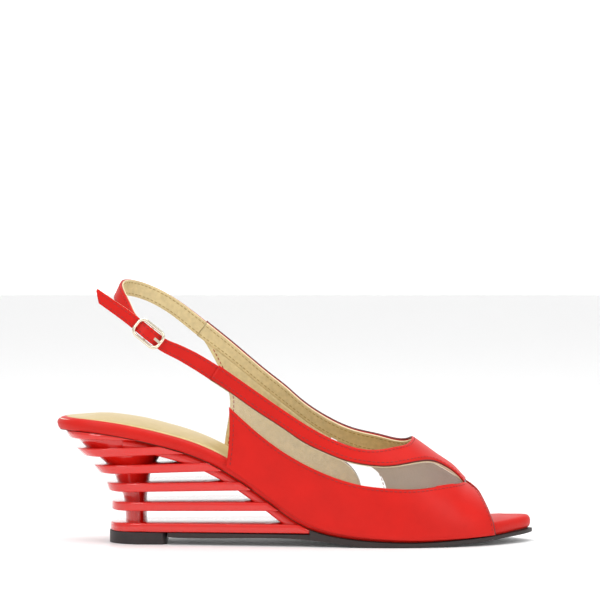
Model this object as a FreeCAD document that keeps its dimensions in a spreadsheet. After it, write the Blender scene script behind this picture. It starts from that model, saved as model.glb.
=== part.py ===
"""Right-foot slingback wedge sandal: a slatted moulded wedge, a covered footbed, a leather upper with
clear windows, and a heel strap closed by a centre-bar buckle.

Frame: +X towards the toe, +Y towards the inner (medial) side of the foot, +Z up, in millimetres.
The origin is on the ground under the middle of the sandal.
"""

import FreeCAD
import Part
import math
import os

from FreeCAD import Placement, Rotation, Vector

DRIVING = {
    "shoe_length": 237.5,
    "footbed_thick": 6.6,
    "board_thick": 2.4,
    "sock_thick": 1.0,
    "wrap_thick": 1.0,
    "sole_edge": 1.2,
    "heel_base": 6.0,
    "tip_length": 29.0,
    "tip_width": 37.2,
    "slat_thick": 4.4,
    "spar_thick": 5.2,
    "spar_recess": 2.2,
    "leather_thick": 1.2,
    "lining_thick": 0.8,
    "vinyl_thick": 0.6,
    "seam_overlap": 2.5,
    "glue_line": 0.05,
    "strap_leather": 1.0,
    "strap_lining": 0.7,
    "strap_width": 7.4,
    "tail_width": 6.0,
    "wire_radius": 0.85,
    "bar_radius": 0.7,
    "bar_play": 0.06,
    "frame_long": 14.9,
    "frame_wide": 9.0,
    "frame_corner": 3.2,
    "frame_rise": 2.8,
    "prong_width": 1.3,
    "nail_radius": 1.0,
    "nail_length": 14.0,
    "screw_radius": 2.1,
    "screw_length": 22.0,
    "pin_radius": 1.5,
    "pin_length": 12.0,
    "rivet_radius": 1.6,
    "rivet_length": 1.2,
    "shank_width": 14.0,
    "shank_thick": 1.2,
    "shank_bed": 0.3,
    "cork_thick": 0.8,
}

doc = FreeCAD.newDocument("wedge_sandal")
sheet = doc.addObject("Spreadsheet::Sheet", "dimensions")
for row, (alias, value) in enumerate(DRIVING.items(), start=1):
    sheet.set(f"A{row}", alias)
    sheet.set(f"B{row}", str(value))
    sheet.setAlias(f"B{row}", alias)
doc.recompute()

nodes = {}


# ---------------------------------------------------------------- helpers


def dim(alias):
    """A driving dimension, read back from the sheet."""
    return float(sheet.get(alias))


def add(kind, name, **values):
    """A document object. A text value that starts with = is an expression on the sheet's dimensions."""
    thing = doc.addObject(kind, name)
    for key, value in values.items():
        if isinstance(value, str) and value.startswith("="):
            thing.setExpression(key, value[1:])
        else:
            setattr(thing, key, value)
    return thing


def freeform(name, shape):
    """A sculpted piece, whose shape is worked out here from the sheet's dimensions."""
    return add("Part::Feature", name, Shape=shape)


def node(name, thing):
    """Registers one sub-part under its own label."""
    thing.Label = name
    nodes[name] = thing
    return thing


def smooth(points):
    """A function through (x, value) points, with gentle slopes."""
    xs = [x for x, _ in points]
    vs = [v for _, v in points]
    last = len(points) - 1
    slopes = []
    for i in range(last + 1):
        low, high = max(i - 1, 0), min(i + 1, last)
        slopes.append((vs[high] - vs[low]) / (xs[high] - xs[low]))

    def value(x):
        x = min(max(x, xs[0]), xs[-1])
        i = max(k for k in range(last) if xs[k] <= x)
        span = xs[i + 1] - xs[i]
        t = (x - xs[i]) / span
        start = vs[i] * (1 + 2 * t) + slopes[i] * span * t
        end = vs[i + 1] * (3 - 2 * t) - slopes[i + 1] * span * (1 - t)
        return start * (1 - t) ** 2 + end * t * t

    return value


def curve(points):
    """An edge that runs smoothly through the points."""
    spline = Part.BSplineCurve()
    spline.interpolate([Vector(*p) for p in points])
    return spline.toShape()


def line(a, b):
    return Part.makeLine(Vector(*a), Vector(*b))


def side_curve(points):
    """A smooth edge through (x, z) points of the side view."""
    return curve([(x, 0, z) for x, z in points])


def side_line(a, b):
    return line((a[0], 0, a[1]), (b[0], 0, b[1]))


def side_loop(*runs):
    """A closed side-view wire: each run is a smooth stretch, and straight lines join run to run."""
    edges = [side_curve(run) if len(run) > 2 else side_line(*run) for run in runs if len(run) > 1]
    ends = [(run[0], run[-1]) for run in runs]
    for (_, end), (start, _) in zip(ends, ends[1:] + ends[:1]):
        if math.dist(end, start) > 1e-6:
            edges.append(side_line(end, start))
    return Part.Wire(Part.__sortEdges__(edges))


def side_prism(wire, y_low, y_high):
    """The solid with that side-view outline, from y_low to y_high."""
    face = Part.Face(wire)
    face.translate(Vector(0, y_low, 0))
    return face.extrude(Vector(0, y_high - y_low, 0))


def block(x_low, x_high, y_low, y_high, z_low, z_high):
    return Part.makeBox(x_high - x_low, y_high - y_low, z_high - z_low, Vector(x_low, y_low, z_low))


def solids_only(shape, smallest=2.0):
    """The shape's solids, with slivers left out."""
    kept = [s for s in shape.Solids if s.Volume > smallest]
    return kept[0] if len(kept) == 1 else Part.makeCompound(kept)


# ---------------------------------------------------------------- the foot's own lines

REAR = -dim("shoe_length") / 2
FRONT = dim("shoe_length") / 2 - dim("sole_edge")
WIDE = 60.0
TALL = 170.0

# Edge of the footbed in plan, inner side then outer side, heel to toe.
MEDIAL_EDGE = [(-112, 15), (-98, 23), (-75, 25.5), (-45, 22.5), (-15, 20.5), (15, 26), (42, 34.4),
               (62, 36.2), (84, 33.4), (100, 26), (111, 16.5)]
LATERAL_EDGE = [(-112, -15), (-98, -23), (-75, -25.5), (-45, -25.5), (-15, -27.5), (12, -31.8),
                (38, -36.2), (60, -36), (83, -30), (99, -20.5), (110.5, -8)]
HEEL_POINT = (REAR, 0)
TOE_POINT = (FRONT, 5.2)

# Underside of the footbed in side view.
FEATHER = [(REAR, 56.6), (-101, 55.7), (-84.8, 53.4), (-68, 49.6), (-51.4, 44.6), (-34.9, 36.6),
           (-14, 22.1), (8.2, 8.0), (22, 4.6), (43, 2.7), (60, 2.3), (85, 3.5), (99, 4.6), (FRONT, 6.8)]

# Crest of the arch that the upper follows over the foot.
CREST = [(-60, 162), (-35, 136), (-13, 113), (8, 91), (22, 78), (32, 70), (43.5, 62), (52, 56.4), (59.6, 51.7),
         (66, 47.2), (72.7, 42.4), (80.2, 36.9), (84.3, 32.4), (92, 26.4), (99, 21.4), (106, 17)]

medial_y = smooth([(REAR, 2)] + MEDIAL_EDGE + [(FRONT, 6)])
lateral_y = smooth([(REAR, -2)] + LATERAL_EDGE + [(FRONT, 3.6)])
feather_z = smooth(FEATHER)
crest_z = smooth(CREST)

# ---------------------------------------------------------------- footbed

FOOTBED = dim("footbed_thick")
BOARD = dim("board_thick")
SOCK = dim("sock_thick")
SOCK_FRONT = 88.0
GLUE = dim("glue_line")
CORK = dim("cork_thick")
OUTLINE_STEPS = 26
RAIL_STEP = 6
OVER = 5.0


def band_face(low, high):
    """Side-view face between two heights above the footbed's underside, over the whole length."""
    inner = [x for x, _ in FEATHER[1:-1]]
    rail = [(x, feather_z(x)) for x in [REAR - OVER] + inner + [FRONT + OVER]]
    bottom = [(x, z + low) for x, z in rail]
    top = [(x, z + high) for x, z in rail]
    return Part.Face(side_loop(bottom, top[::-1]))


def band(name, low, high):
    """That face drawn out across the sandal."""
    face = freeform(name + "_side", band_face(low, high))
    return add("Part::Extrusion", name + "_band", Base=face, DirMode="Custom", Dir=Vector(0, 1, 0),
               LengthFwd=2 * WIDE, Symmetric=True, Solid=True)


def prism(name, plan):
    """A plan outline drawn up through the whole height."""
    return add("Part::Extrusion", name, Base=plan, DirMode="Custom", Dir=Vector(0, 0, 1), LengthFwd=TALL,
               LengthRev=OVER, Solid=True)


def layer(name, low, high, plan_prism, x_low=REAR - OVER, x_high=FRONT + OVER):
    """A layer of the footbed between two heights above its underside, from x_low to x_high."""
    stretch = add("Part::Box", name + "_stretch", Length=x_high - x_low, Width=2 * WIDE, Height=TALL + OVER,
                  Placement=Placement(Vector(x_low, -WIDE, -OVER), Rotation()))
    return add("Part::MultiCommon", name, Shapes=[plan_prism, band(name, low, high), stretch], Refine=True)



def plan(name, grow):
    """The footbed's outline, moved out by grow, as an inner and an outer half."""
    ring = Part.BSplineCurve()
    corners = [HEEL_POINT] + MEDIAL_EDGE + [TOE_POINT] + LATERAL_EDGE[::-1]
    ring.interpolate([Vector(x, y, 0) for x, y in corners], PeriodicFlag=True)
    knots = ring.getKnots()
    heel, toe, round_again = knots[0], knots[len(MEDIAL_EDGE) + 1], knots[-1]
    halves = []
    for start, end in ((heel, toe), (toe, round_again)):
        stations = []
        for step in range(OUTLINE_STEPS + 1):
            u = start + (end - start) * step / OUTLINE_STEPS
            tangent = Vector(*ring.tangent(u)[0])
            stations.append(ring.value(u) + Vector(-tangent.y, tangent.x, 0) * grow)
        halves.append(curve(stations))
    return freeform(name, Part.Wire(halves))


footbed_plan = plan("footbed_plan", 0)
core_plan = plan("core_plan", -dim("wrap_thick"))
sole_plan = plan("sole_plan", dim("sole_edge"))
filler_plan = plan("filler_plan", -9)
footbed_prism = prism("footbed_prism", footbed_plan)
core_prism = prism("core_prism", core_plan)
sole_prism = prism("sole_prism", sole_plan)
filler_prism = prism("filler_prism", filler_plan)

footbed_block = layer("footbed_block", 0, FOOTBED, footbed_prism)
board_blank = layer("board_blank", 0, BOARD, core_prism)
foam = layer("foam", BOARD, FOOTBED - SOCK, core_prism)
sock = layer("sock", FOOTBED - SOCK, FOOTBED, core_prism, x_high=SOCK_FRONT)
toe_cover = layer("toe_cover", FOOTBED - SOCK, FOOTBED, core_prism, x_low=SOCK_FRONT)
rim = add("Part::Cut", "rim", Base=footbed_block, Tool=core_prism)
wrap = add("Part::MultiFuse", "wrap", Shapes=[rim, toe_cover], Refine=True)
filler = layer("filler", 0, CORK, filler_prism, x_low=24, x_high=98)

# ---------------------------------------------------------------- wedge heel

HEEL_BASE = dim("heel_base")
SLAT = dim("slat_thick")
TIP_HALF = dim("tip_width") / 2

# Envelope of the wedge: height, rearmost x, half width behind.
ENVELOPE = [(HEEL_BASE - 1, -92.8, TIP_HALF), (20, -91.9, 19.2), (30, -94.6, 20.3), (39.2, -101.2, 21.8),
            (47.7, -109.4, 23.2), (52.6, -113.2, 23.8), (58, -115.8, 24.4)]
ENVELOPE_FRONT = 16.0
FRONT_LATERAL = -33.0
FRONT_MEDIAL = 25.5
WEDGE_TIP = 8.5
CUP_FLOOR = 52.4

# Top edge of each slat at the back, and how much it rises towards the front, in degrees.
SLATS = [(10.5, 0.3), (20.8, 0.8), (30.2, 1.5), (39.3, 2.3), (48.2, 2.8)]

# Oval sections of the post behind the slots: height, rear x, front x, half width.
POST = [(HEEL_BASE - 0.9, -85.0, -74.2, 10.0), (14, -85.2, -74.2, 10.0), (22, -86, -74.2, 10.4), (30, -89, -73.2, 12),
        (35, -91.3, -72.2, 14), (41, -96.5, -69, 17), (46, -103, -66, 19.5), (53.2, -110, -62, 21.5)]


def envelope_wire(z, rear, half_width, inset=0.0):
    """A plan outline with a round back and sides that spread towards the front, moved in by inset."""
    rear, half_width = rear + inset, half_width - inset
    lean = half_width * (1 - math.cos(math.radians(45)))
    flank = half_width * math.sin(math.radians(45)) * 1.06
    shoulder = rear + half_width * 1.05
    back = [(shoulder, -half_width, z), (rear + lean, -flank, z), (rear, 0, z), (rear + lean, flank, z),
            (shoulder, half_width, z)]
    outer, inner = (ENVELOPE_FRONT, FRONT_LATERAL + inset, z), (ENVELOPE_FRONT, FRONT_MEDIAL - inset, z)
    return Part.Wire([curve(back), line(back[-1], inner), line(inner, outer), line(outer, back[0])])


def oval_wire(z, rear, front, half_width):
    middle = Vector((rear + front) / 2, 0, z)
    half_length = (front - rear) / 2
    oval = Part.Ellipse(middle, max(half_length, half_width), min(half_length, half_width)).toShape()
    if half_width > half_length:
        oval.rotate(middle, Vector(0, 0, 1), 90)
    return Part.Wire(oval)


def across(face):
    return face.extrude(Vector(0, 2 * WIDE, 0)).translated(Vector(0, -WIDE, 0))


behind_tip = block(REAR - OVER, WEDGE_TIP, -WIDE, WIDE, -OVER, TALL)
under_footbed = across(band_face(-80, -GLUE)).common(behind_tip)
envelope = Part.makeLoft([envelope_wire(*row) for row in ENVELOPE], True, True).common(under_footbed)
slim = Part.makeLoft([envelope_wire(*row, inset=dim("spar_recess")) for row in ENVELOPE], True, True)
heel = slim.common(across(band_face(-dim("spar_thick"), -GLUE))).common(behind_tip)
heel = heel.fuse(envelope.common(block(-125, -78, -WIDE, WIDE, CUP_FLOOR, TALL)))
for top, rise in SLATS:
    slab = block(-130, 30, -WIDE, WIDE, top - SLAT, top)
    slab.rotate(Vector(-95, 0, top), Vector(0, 1, 0), -rise)
    heel = heel.fuse(envelope.common(slab))
heel = heel.fuse(Part.makeLoft([oval_wire(*row) for row in POST], True, True).common(under_footbed))
heel = heel.cut(block(-130, 60, -WIDE, WIDE, -10, HEEL_BASE)).removeSplitter()
heel_blank = freeform("heel_blank", solids_only(heel))

# ---------------------------------------------------------------- outsole and heel top piece

TIP_REAR = ENVELOPE[0][1] - 0.2
TIP_FRONT = TIP_REAR + dim("tip_length")
TREAD = (38.0, 62.0)
SOLE_END = FRONT + 6

under_rear = [(TIP_FRONT + 0.3, HEEL_BASE - 2.2), (-30, 3.8), (0, 3.8), (12, 2.9), (24, 1.3), (TREAD[0], 0)]
under_front = [(TREAD[1], 0), (76, 0.8), (92, 2.1), (SOLE_END, 5.0)]
above_tread = across(Part.Face(side_loop(under_rear, under_front, [(SOLE_END, 40), (under_rear[0][0], 40)])))
waist = Part.Face(envelope_wire(0, ENVELOPE[0][1], TIP_HALF)).extrude(Vector(0, 0, HEEL_BASE))
waist = waist.common(block(TIP_FRONT + 0.3, WEDGE_TIP + 1, -WIDE, WIDE, 0, HEEL_BASE))
doc.recompute()
ahead_of_tip = block(WEDGE_TIP - 1.5, SOLE_END, -WIDE, WIDE, -40, 60)
forepart = sole_prism.Shape.common(across(band_face(-30, -GLUE))).common(ahead_of_tip)
outsole = above_tread.common(forepart.fuse(waist)).cut(heel_blank.Shape).removeSplitter()
node("outsole", freeform("outsole", solids_only(outsole)))

tip = add("PartDesign::Body", "tip_body")
tip_sketch = tip.newObject("Sketcher::SketchObject", "tip_sketch")
ground_plane = next(p for p in tip.Origin.OriginFeatures if p.Role == "XY_Plane")
tip_sketch.AttachmentSupport = [(ground_plane, "")]
tip_sketch.MapMode = "FlatFace"
back_center = Vector(TIP_REAR + TIP_HALF, 0, 0)
arc = Part.Arc(Vector(back_center.x, TIP_HALF, 0), Vector(TIP_REAR, 0, 0), Vector(back_center.x, -TIP_HALF, 0))
corners = [Vector(back_center.x, -TIP_HALF, 0), Vector(TIP_FRONT, -TIP_HALF, 0), Vector(TIP_FRONT, TIP_HALF, 0),
           Vector(back_center.x, TIP_HALF, 0)]
tip_sketch.addGeometry([arc] + [Part.LineSegment(a, b) for a, b in zip(corners, corners[1:])], False)
tip_pad = tip.newObject("PartDesign::Pad", "tip_pad")
tip_pad.Profile = tip_sketch
tip_pad.setExpression("Length", "dimensions.heel_base")
doc.recompute()
upright = [f"Edge{i}" for i, e in enumerate(tip_pad.Shape.Edges, start=1)
           if abs(e.BoundBox.ZLength - HEEL_BASE) < 1e-3 and e.BoundBox.XMin > TIP_FRONT - 1]
tip_round = tip.newObject("PartDesign::Fillet", "tip_round")
tip_round.Base = (tip_pad, upright)
tip_round.Radius = 4
doc.recompute()

# ---------------------------------------------------------------- fixings inside


def turned(name, x, y, z, radius, height):
    """An upright cylinder whose radius and height are bound to the sheet."""
    return add("Part::Cylinder", name, Radius="=" + radius, Height="=" + height,
               Placement=Placement(Vector(x, y, z), Rotation()))


def headed(name, x, y, radius, length):
    """A nail, screw or rivet driven down through the board, with a flat head level with its top."""
    top = feather_z(x) + BOARD
    head = turned(name + "_head", x, y, top - 0.8, f"{radius} * 1.9", "0.8")
    stem = add("Part::Cylinder", name + "_stem", Radius="=" + radius, Height="=" + length,
               Placement=Placement(Vector(x, y, top), Rotation(Vector(1, 0, 0), 180)))
    return add("Part::Fuse", name, Base=head, Tool=stem)


def group(name, members):
    return add("Part::Compound", name, Links=members)


nails = [headed(f"nail_{i}", x, y, "dimensions.nail_radius", "dimensions.nail_length")
         for i, (x, y) in enumerate([(-99, -9), (-99, 9), (-75, -9.5), (-75, 9.5)], start=1)]
rivets = [headed(f"rivet_{i}", x, 0, "dimensions.rivet_radius", "dimensions.rivet_length")
          for i, x in enumerate([-56, 14], start=1)]
pins = [turned(f"pin_{i}", -79.6, y, 3, "dimensions.pin_radius", "dimensions.pin_length")
        for i, y in enumerate([-5, 5], start=1)]
screw = headed("screw", -86, 0, "dimensions.screw_radius", "dimensions.screw_length")
nail_group = node("heel_nails", group("nail_group", nails))
rivet_group = node("shank_rivets", group("rivet_group", rivets))
pin_group = node("top_piece_pins", group("pin_group", pins))
node("heel_screw", screw)

shank = add("PartDesign::Body", "shank_body")
shank_sketch = shank.newObject("Sketcher::SketchObject", "shank_sketch")
side_plane = next(p for p in shank.Origin.OriginFeatures if p.Role == "XZ_Plane")
shank_sketch.AttachmentSupport = [(side_plane, "")]
shank_sketch.MapMode = "FlatFace"
shank_rail = [(x, feather_z(x) + dim("shank_bed")) for x in range(-72, 25, RAIL_STEP)]
lower, upper = Part.BSplineCurve(), Part.BSplineCurve()
lower.interpolate([Vector(x, z, 0) for x, z in shank_rail])
upper.interpolate([Vector(x, z + dim("shank_thick"), 0) for x, z in shank_rail])
shank_ends = [Part.LineSegment(lower.StartPoint, upper.StartPoint), Part.LineSegment(lower.EndPoint, upper.EndPoint)]
shank_sketch.addGeometry([lower, upper] + shank_ends, False)
shank_pad = shank.newObject("PartDesign::Pad", "shank_pad")
shank_pad.Profile = shank_sketch
shank_pad.Midplane = True
shank_pad.setExpression("Length", "dimensions.shank_width")
steel_shank = add("Part::Cut", "shank_pierced", Base=shank, Tool=rivet_group)
node("steel_shank", steel_shank)

fixings = group("fixings", [nail_group, screw, pin_group])
board_fixings = group("board_fixings", [shank, rivet_group, nail_group, screw, filler])
board = add("Part::Cut", "board", Base=board_blank, Tool=board_fixings)
heel_bored = add("Part::Cut", "heel_bored", Base=heel_blank, Tool=fixings)
tip_bored = add("Part::Cut", "tip_bored", Base=tip, Tool=pin_group)
foam_bored = add("Part::Cut", "foam_bored", Base=foam, Tool=group("foam_fixings", [rivet_group, nail_group, screw]))

node("wedge_heel", heel_bored)
node("heel_top_piece", tip_bored)
node("insole_board", board)
node("bottom_filler", filler)
node("footbed_foam", foam_bored)
node("footbed_wrap", wrap)
node("sock_lining", sock)
doc.recompute()

# ---------------------------------------------------------------- upper

LEATHER = dim("leather_thick")
LINING = dim("lining_thick")
VINYL = dim("vinyl_thick")
OVERLAP = dim("seam_overlap")
STAND = LEATHER + LINING + 0.2
STATIONS = (-56, -45, -34, -22, -10, 2, 14, 26, 37, 47, 56, 64, 72, 79, 86, 93, 100, 105)


def arch_size(x, depth):
    """Middle, half width, foot and height of the upper's arch at x, at that depth below its outside."""
    middle = (medial_y(x) + lateral_y(x)) / 2
    half_width = (medial_y(x) - lateral_y(x)) / 2 + STAND - depth
    return middle, half_width, feather_z(x), crest_z(x) - feather_z(x) - depth


def arch_edge(x, depth):
    """The arch over the foot at x, from just below the footbed on one side to the same on the other."""
    middle, half_width, foot, height = arch_size(x, depth)
    points = [(x, middle - half_width, foot - OVER)]
    for turn in range(0, 181, 15):
        c, s = math.cos(math.radians(turn)), math.sin(math.radians(turn))
        points.append((x, middle - half_width * c, foot + height * max(s, 0.0) ** 0.8))
    return points + [(x, middle + half_width, foot - OVER)]


def arch_shell(outer_depth, inner_depth):
    """The skin between two depths below the arch's outside, from behind the quarters to past the toe."""
    wires = []
    for x in STATIONS:
        outer, inner = arch_edge(x, outer_depth), arch_edge(x, inner_depth)
        rims = [line(outer[-1], inner[-1]), line(inner[0], outer[0])]
        wires.append(Part.Wire([curve(outer), rims[0], curve(inner[::-1]), rims[1]]))
    return Part.makeLoft(wires, True, False)


def wall_y(x, z, side, depth=LEATHER):
    """Where the arch's wall stands at that x and height. side is -1 on the outer side of the foot."""
    middle, half_width, foot, height = arch_size(x, depth)
    share = min(max((z - foot) / height, 0.0), 1.0)
    return middle + side * half_width * math.sqrt(1 - share**2.5)


def shifted(points, rise):
    return [(x, z + rise) for x, z in points]


def moved(points, forward):
    return [(x + forward, z) for x, z in points]


def lateral(*runs):
    """Side-view region, taken on the outer side of the foot only."""
    return side_prism(side_loop(*runs), -WIDE, 0)


def medial(*runs):
    return side_prism(side_loop(*runs), 0, WIDE)


# Edges in side view, (x, z). Outer side first.
LAT_TOPLINE = [(-54, 99.4), (-41.8, 92.5), (-22.6, 79.2), (-3.4, 66), (8.2, 58.7), (22.2, 51.8), (32.8, 48.7),
               (43.4, 48.4), (50.4, 49.3), (57.5, 51.3), (59.6, 54.5)]
LAT_BAND_LOW = [(-54, 90.5), (-33.8, 77.6), (-19.8, 67.8), (-5.8, 58.8), (4.8, 51.8), (15.2, 47), (22.2, 44.2),
                (36.4, 41.1), (47, 40.6), (60.2, 42.3), (68.8, 42), (73.8, 39.8), (80.2, 35.4), (84.3, 30.9)]
LAT_VAMP_TOP = [(-33, 69.4), (-19.8, 57.4), (-5.8, 47), (8.2, 39.3), (22.2, 33.8), (32.8, 31.1), (43.4, 29.8),
                (60.2, 29.1), (74.2, 30.3), (84.3, 31.6)]
LAT_VAMP_REAR = [(-33, 69.4), (-32.7, 60.9), (-33.3, 46.9), (-34.5, 37), (-36, 28)]
PEEP_EDGE = [(84.3, 31.6), (91.8, 25.1), (95.3, 18.8), (98.6, 10.5), (99.3, 5.3), (99.4, 0)]
MED_TOPLINE = [(-49, 112.9), (-46.4, 111.1), (-32.2, 99.7), (-22.6, 91.6), (-12.8, 83.5), (-3.4, 76), (1.2, 71.8),
               (15.2, 61.9), (29.2, 55.4), (43.4, 52.1), (57.5, 51.8), (59.6, 54.5)]
MED_BAND_LOW = [(-49, 102.4), (-46.4, 100.6), (-32.2, 90), (-22.6, 82), (-3.4, 66.6), (5, 60), (21, 50), (36, 44.6),
                (50, 43.6), (60, 44.2), (68, 42.6), (73.7, 39.9), (80.2, 35.4), (84.3, 30.9)]
MED_QUARTER_REAR = [(-46, 104.6), (-45, 98.6), (-39.8, 88.9), (-34.1, 75.4), (-33, 69.4), (-33.8, 58.9),
                    (-35.2, 49.9), (-36.5, 38), (-37.5, 28)]
CRESCENT_REAR = [(18.2, 54.6), (18.6, 50), (19.8, 45), (24, 39.5), (28.2, 35.1), (32.2, 29.1), (33.6, 21),
                 (31.5, 12), (28, 0)]
CRESCENT_FRONT = [(19.4, 54), (20.6, 49), (24.6, 42.6), (34.8, 38.2), (42.2, 33.6), (45.8, 27), (46.6, 19),
                  (43.5, 9.5), (38, 0)]
MED_VAMP_REACH = [(36, 48.4), (50, 47.6), (59, 47.8)]
MED_VAMP_TOP = [(59, 44.6), (62, 42.2), (67.8, 39.9), (74.5, 36.4), (84.3, 31.2)]
HIGH = 75
CORNER = (84.3, 60)

above_feather = across(band_face(0, HIGH * 2))
leather_shell = arch_shell(0, LEATHER).common(above_feather)
INSIDE = LEATHER + GLUE
lining_shell = arch_shell(INSIDE, INSIDE + LINING).common(above_feather)
vinyl_shell = arch_shell(INSIDE, INSIDE + VINYL).common(above_feather)
SEAM = OVERLAP + 0.15
QUARTER_REACH = shifted(MED_BAND_LOW[2:6], 4)
LAT_BAND_REACH = shifted(LAT_BAND_LOW[1:], OVERLAP)
LAT_VAMP_REACH = shifted(LAT_VAMP_TOP, -OVERLAP)

# The straps' roots, where the heel strap hinges on the upper, and the line through them.
OUTER_ROOT = Vector(-40, wall_y(-40, 86.7, -1), 86.7)
INNER_ROOT = Vector(-47, wall_y(-47, 106.2, 1), 106.2)
swing_axis = (INNER_ROOT - OUTER_ROOT).normalize()


def root_room(root, reach, half_width):
    """The room that a strap's round end and its swing take out of the band at that root."""
    start = root - swing_axis * 12
    room = Part.makeCylinder(half_width, 24, start, swing_axis)
    ahead = Vector(reach).normalize()
    for angle in range(-40, 61, 10):
        turned_reach = Rotation(swing_axis, angle).multVec(ahead)
        upward = swing_axis.cross(turned_reach)
        a, b = start + upward * half_width, start - upward * half_width
        ends = [a, b, b + turned_reach * 40, a + turned_reach * 40, a]
        room = room.fuse(Part.Face(Part.makePolygon(ends)).extrude(swing_axis * 24))
    return room


outer_room = root_room(OUTER_ROOT, (-0.87, 0, 0.5), dim("strap_width") / 2 + 0.9)
inner_room = root_room(INNER_ROOT, (-0.81, 0, 0.58), dim("strap_width") / 2 + 1.6)
rooms = outer_room.fuse(inner_room)

lat_band = lateral(LAT_TOPLINE, [CORNER], LAT_BAND_LOW[::-1])
med_band = medial(MED_TOPLINE, [CORNER], MED_BAND_LOW[::-1])
lat_band_in = lateral(LAT_TOPLINE, [CORNER], shifted(LAT_BAND_LOW, SEAM)[::-1])
med_band_in = medial(MED_TOPLINE, [CORNER], shifted(MED_BAND_LOW, SEAM)[::-1])
lat_vamp = lateral(LAT_VAMP_REAR[::-1], LAT_VAMP_TOP, PEEP_EDGE)
lat_vamp_in = lateral(LAT_VAMP_REAR[:0:-1], shifted(LAT_VAMP_TOP, -SEAM), PEEP_EDGE[1:])
med_quarter = medial(MED_QUARTER_REAR[::-1], QUARTER_REACH, CRESCENT_REAR)
med_quarter_in = medial(MED_QUARTER_REAR[::-1], QUARTER_REACH, moved(CRESCENT_REAR, -SEAM))
med_vamp = medial(CRESCENT_FRONT[::-1], MED_VAMP_REACH, MED_VAMP_TOP, PEEP_EDGE)
med_vamp_in = medial(moved(CRESCENT_FRONT, SEAM)[::-1], moved(MED_VAMP_REACH, -SEAM), shifted(MED_VAMP_TOP, -SEAM),
                     PEEP_EDGE[1:])
lat_window = lateral(LAT_BAND_REACH, LAT_VAMP_REACH[::-1])
med_window = medial(moved(CRESCENT_REAR, -OVERLAP), moved(CRESCENT_FRONT, OVERLAP)[::-1])
front_window = medial([(56.5, 40), (56.5, 47)], [(70, 47), (86, 31)], shifted(MED_VAMP_TOP, -OVERLAP)[::-1])


def panel(name, shell, *regions, less=()):
    shape = shell.common(regions[0])
    for region in regions[1:]:
        shape = shape.fuse(shell.common(region))
    for other in less:
        shape = shape.cut(other)
    if len(regions) > 1:
        shape = shape.removeSplitter()
    return node(name, freeform(name, solids_only(shape)))


underfoot = [footbed_block.Shape, outsole, heel_blank.Shape]
panel("topline_band", leather_shell, lat_band, med_band, less=[rooms])
panel("topline_band_lining", lining_shell, lat_band_in, med_band_in, less=[rooms])
panel("lateral_vamp", leather_shell, lat_vamp, less=[lat_band] + underfoot)
panel("lateral_vamp_lining", lining_shell, lat_vamp_in, less=[lat_band] + underfoot)
panel("medial_quarter", leather_shell, med_quarter, less=[med_band, inner_room] + underfoot)
panel("medial_quarter_lining", lining_shell, med_quarter_in, less=[med_band_in, inner_room] + underfoot)
panel("medial_vamp", leather_shell, med_vamp, less=[med_band] + underfoot)
panel("medial_vamp_lining", lining_shell, med_vamp_in, less=[med_band_in] + underfoot)
panel("lateral_window", vinyl_shell, lat_window, less=[lat_band_in, lat_vamp_in])
panel("medial_window", vinyl_shell, med_window, less=[med_quarter_in, med_vamp_in, med_band_in] + underfoot)
panel("front_window", vinyl_shell, front_window, less=[med_band_in, med_vamp_in, med_window])

# ---------------------------------------------------------------- heel strap and buckle strap

STRAP_LEATHER = dim("strap_leather")
STRAP_LINING = dim("strap_lining")
STRAP_WIDTH = dim("strap_width")
TAIL_WIDTH = dim("tail_width")
BAR_HOLE = dim("bar_radius") + dim("bar_play")
CHAPE = 0.8

# The buckle's own frame: x along the strap towards the toe, y across it, z outward, origin on the centre bar.
along = Vector(0.781, -0.035, -0.624).normalize()
outward = (Vector(0, -1, 0) + along * along.y).normalize()
buckle_place = Placement(Vector(-72.7, -26.6, 105.8), Rotation(along, outward.cross(along), outward, "XYZ"))


def at_buckle(reach, out):
    """A point by its distance along the buckle strap and its height above the centre bar's axis."""
    return buckle_place.multVec(Vector(reach, 0, out))


def ribbon(stations, low, high, steps=3):
    """A flat strap between two depths. A station is a centre point, an outward direction and a width."""
    path = Part.BSplineCurve()
    path.interpolate([center for center, _, _ in stations])
    knots = path.getKnots()
    outs = [smooth([(u, out[k]) for u, (_, out, _) in zip(knots, stations)]) for k in range(3)]
    widths = smooth([(u, width) for u, (_, _, width) in zip(knots, stations)])
    wires = []
    for start, end in zip(knots, knots[1:]):
        for step in range(steps + (end == knots[-1])):
            u = start + (end - start) * step / steps
            center, tangent = path.value(u), Vector(*path.tangent(u)[0])
            out = Vector(*[part(u) for part in outs])
            normal = (out - tangent * out.dot(tangent)).normalize()
            edge = normal.cross(tangent) * (widths(u) / 2)
            a, b = center + normal * low, center + normal * high
            wires.append(Part.makePolygon([a - edge, a + edge, b + edge, b - edge, a - edge]))
    return Part.makeLoft(wires, True, True)


def wall_out(point, side):
    """Outward direction of the upper's wall at that point."""
    slope_x = wall_y(point.x + 1, point.z, side) - wall_y(point.x - 1, point.z, side)
    slope_z = wall_y(point.x, point.z + 1, side) - wall_y(point.x, point.z - 1, side)
    return Vector(-slope_x / 2, 1, -slope_z / 2).normalize() * side


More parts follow.
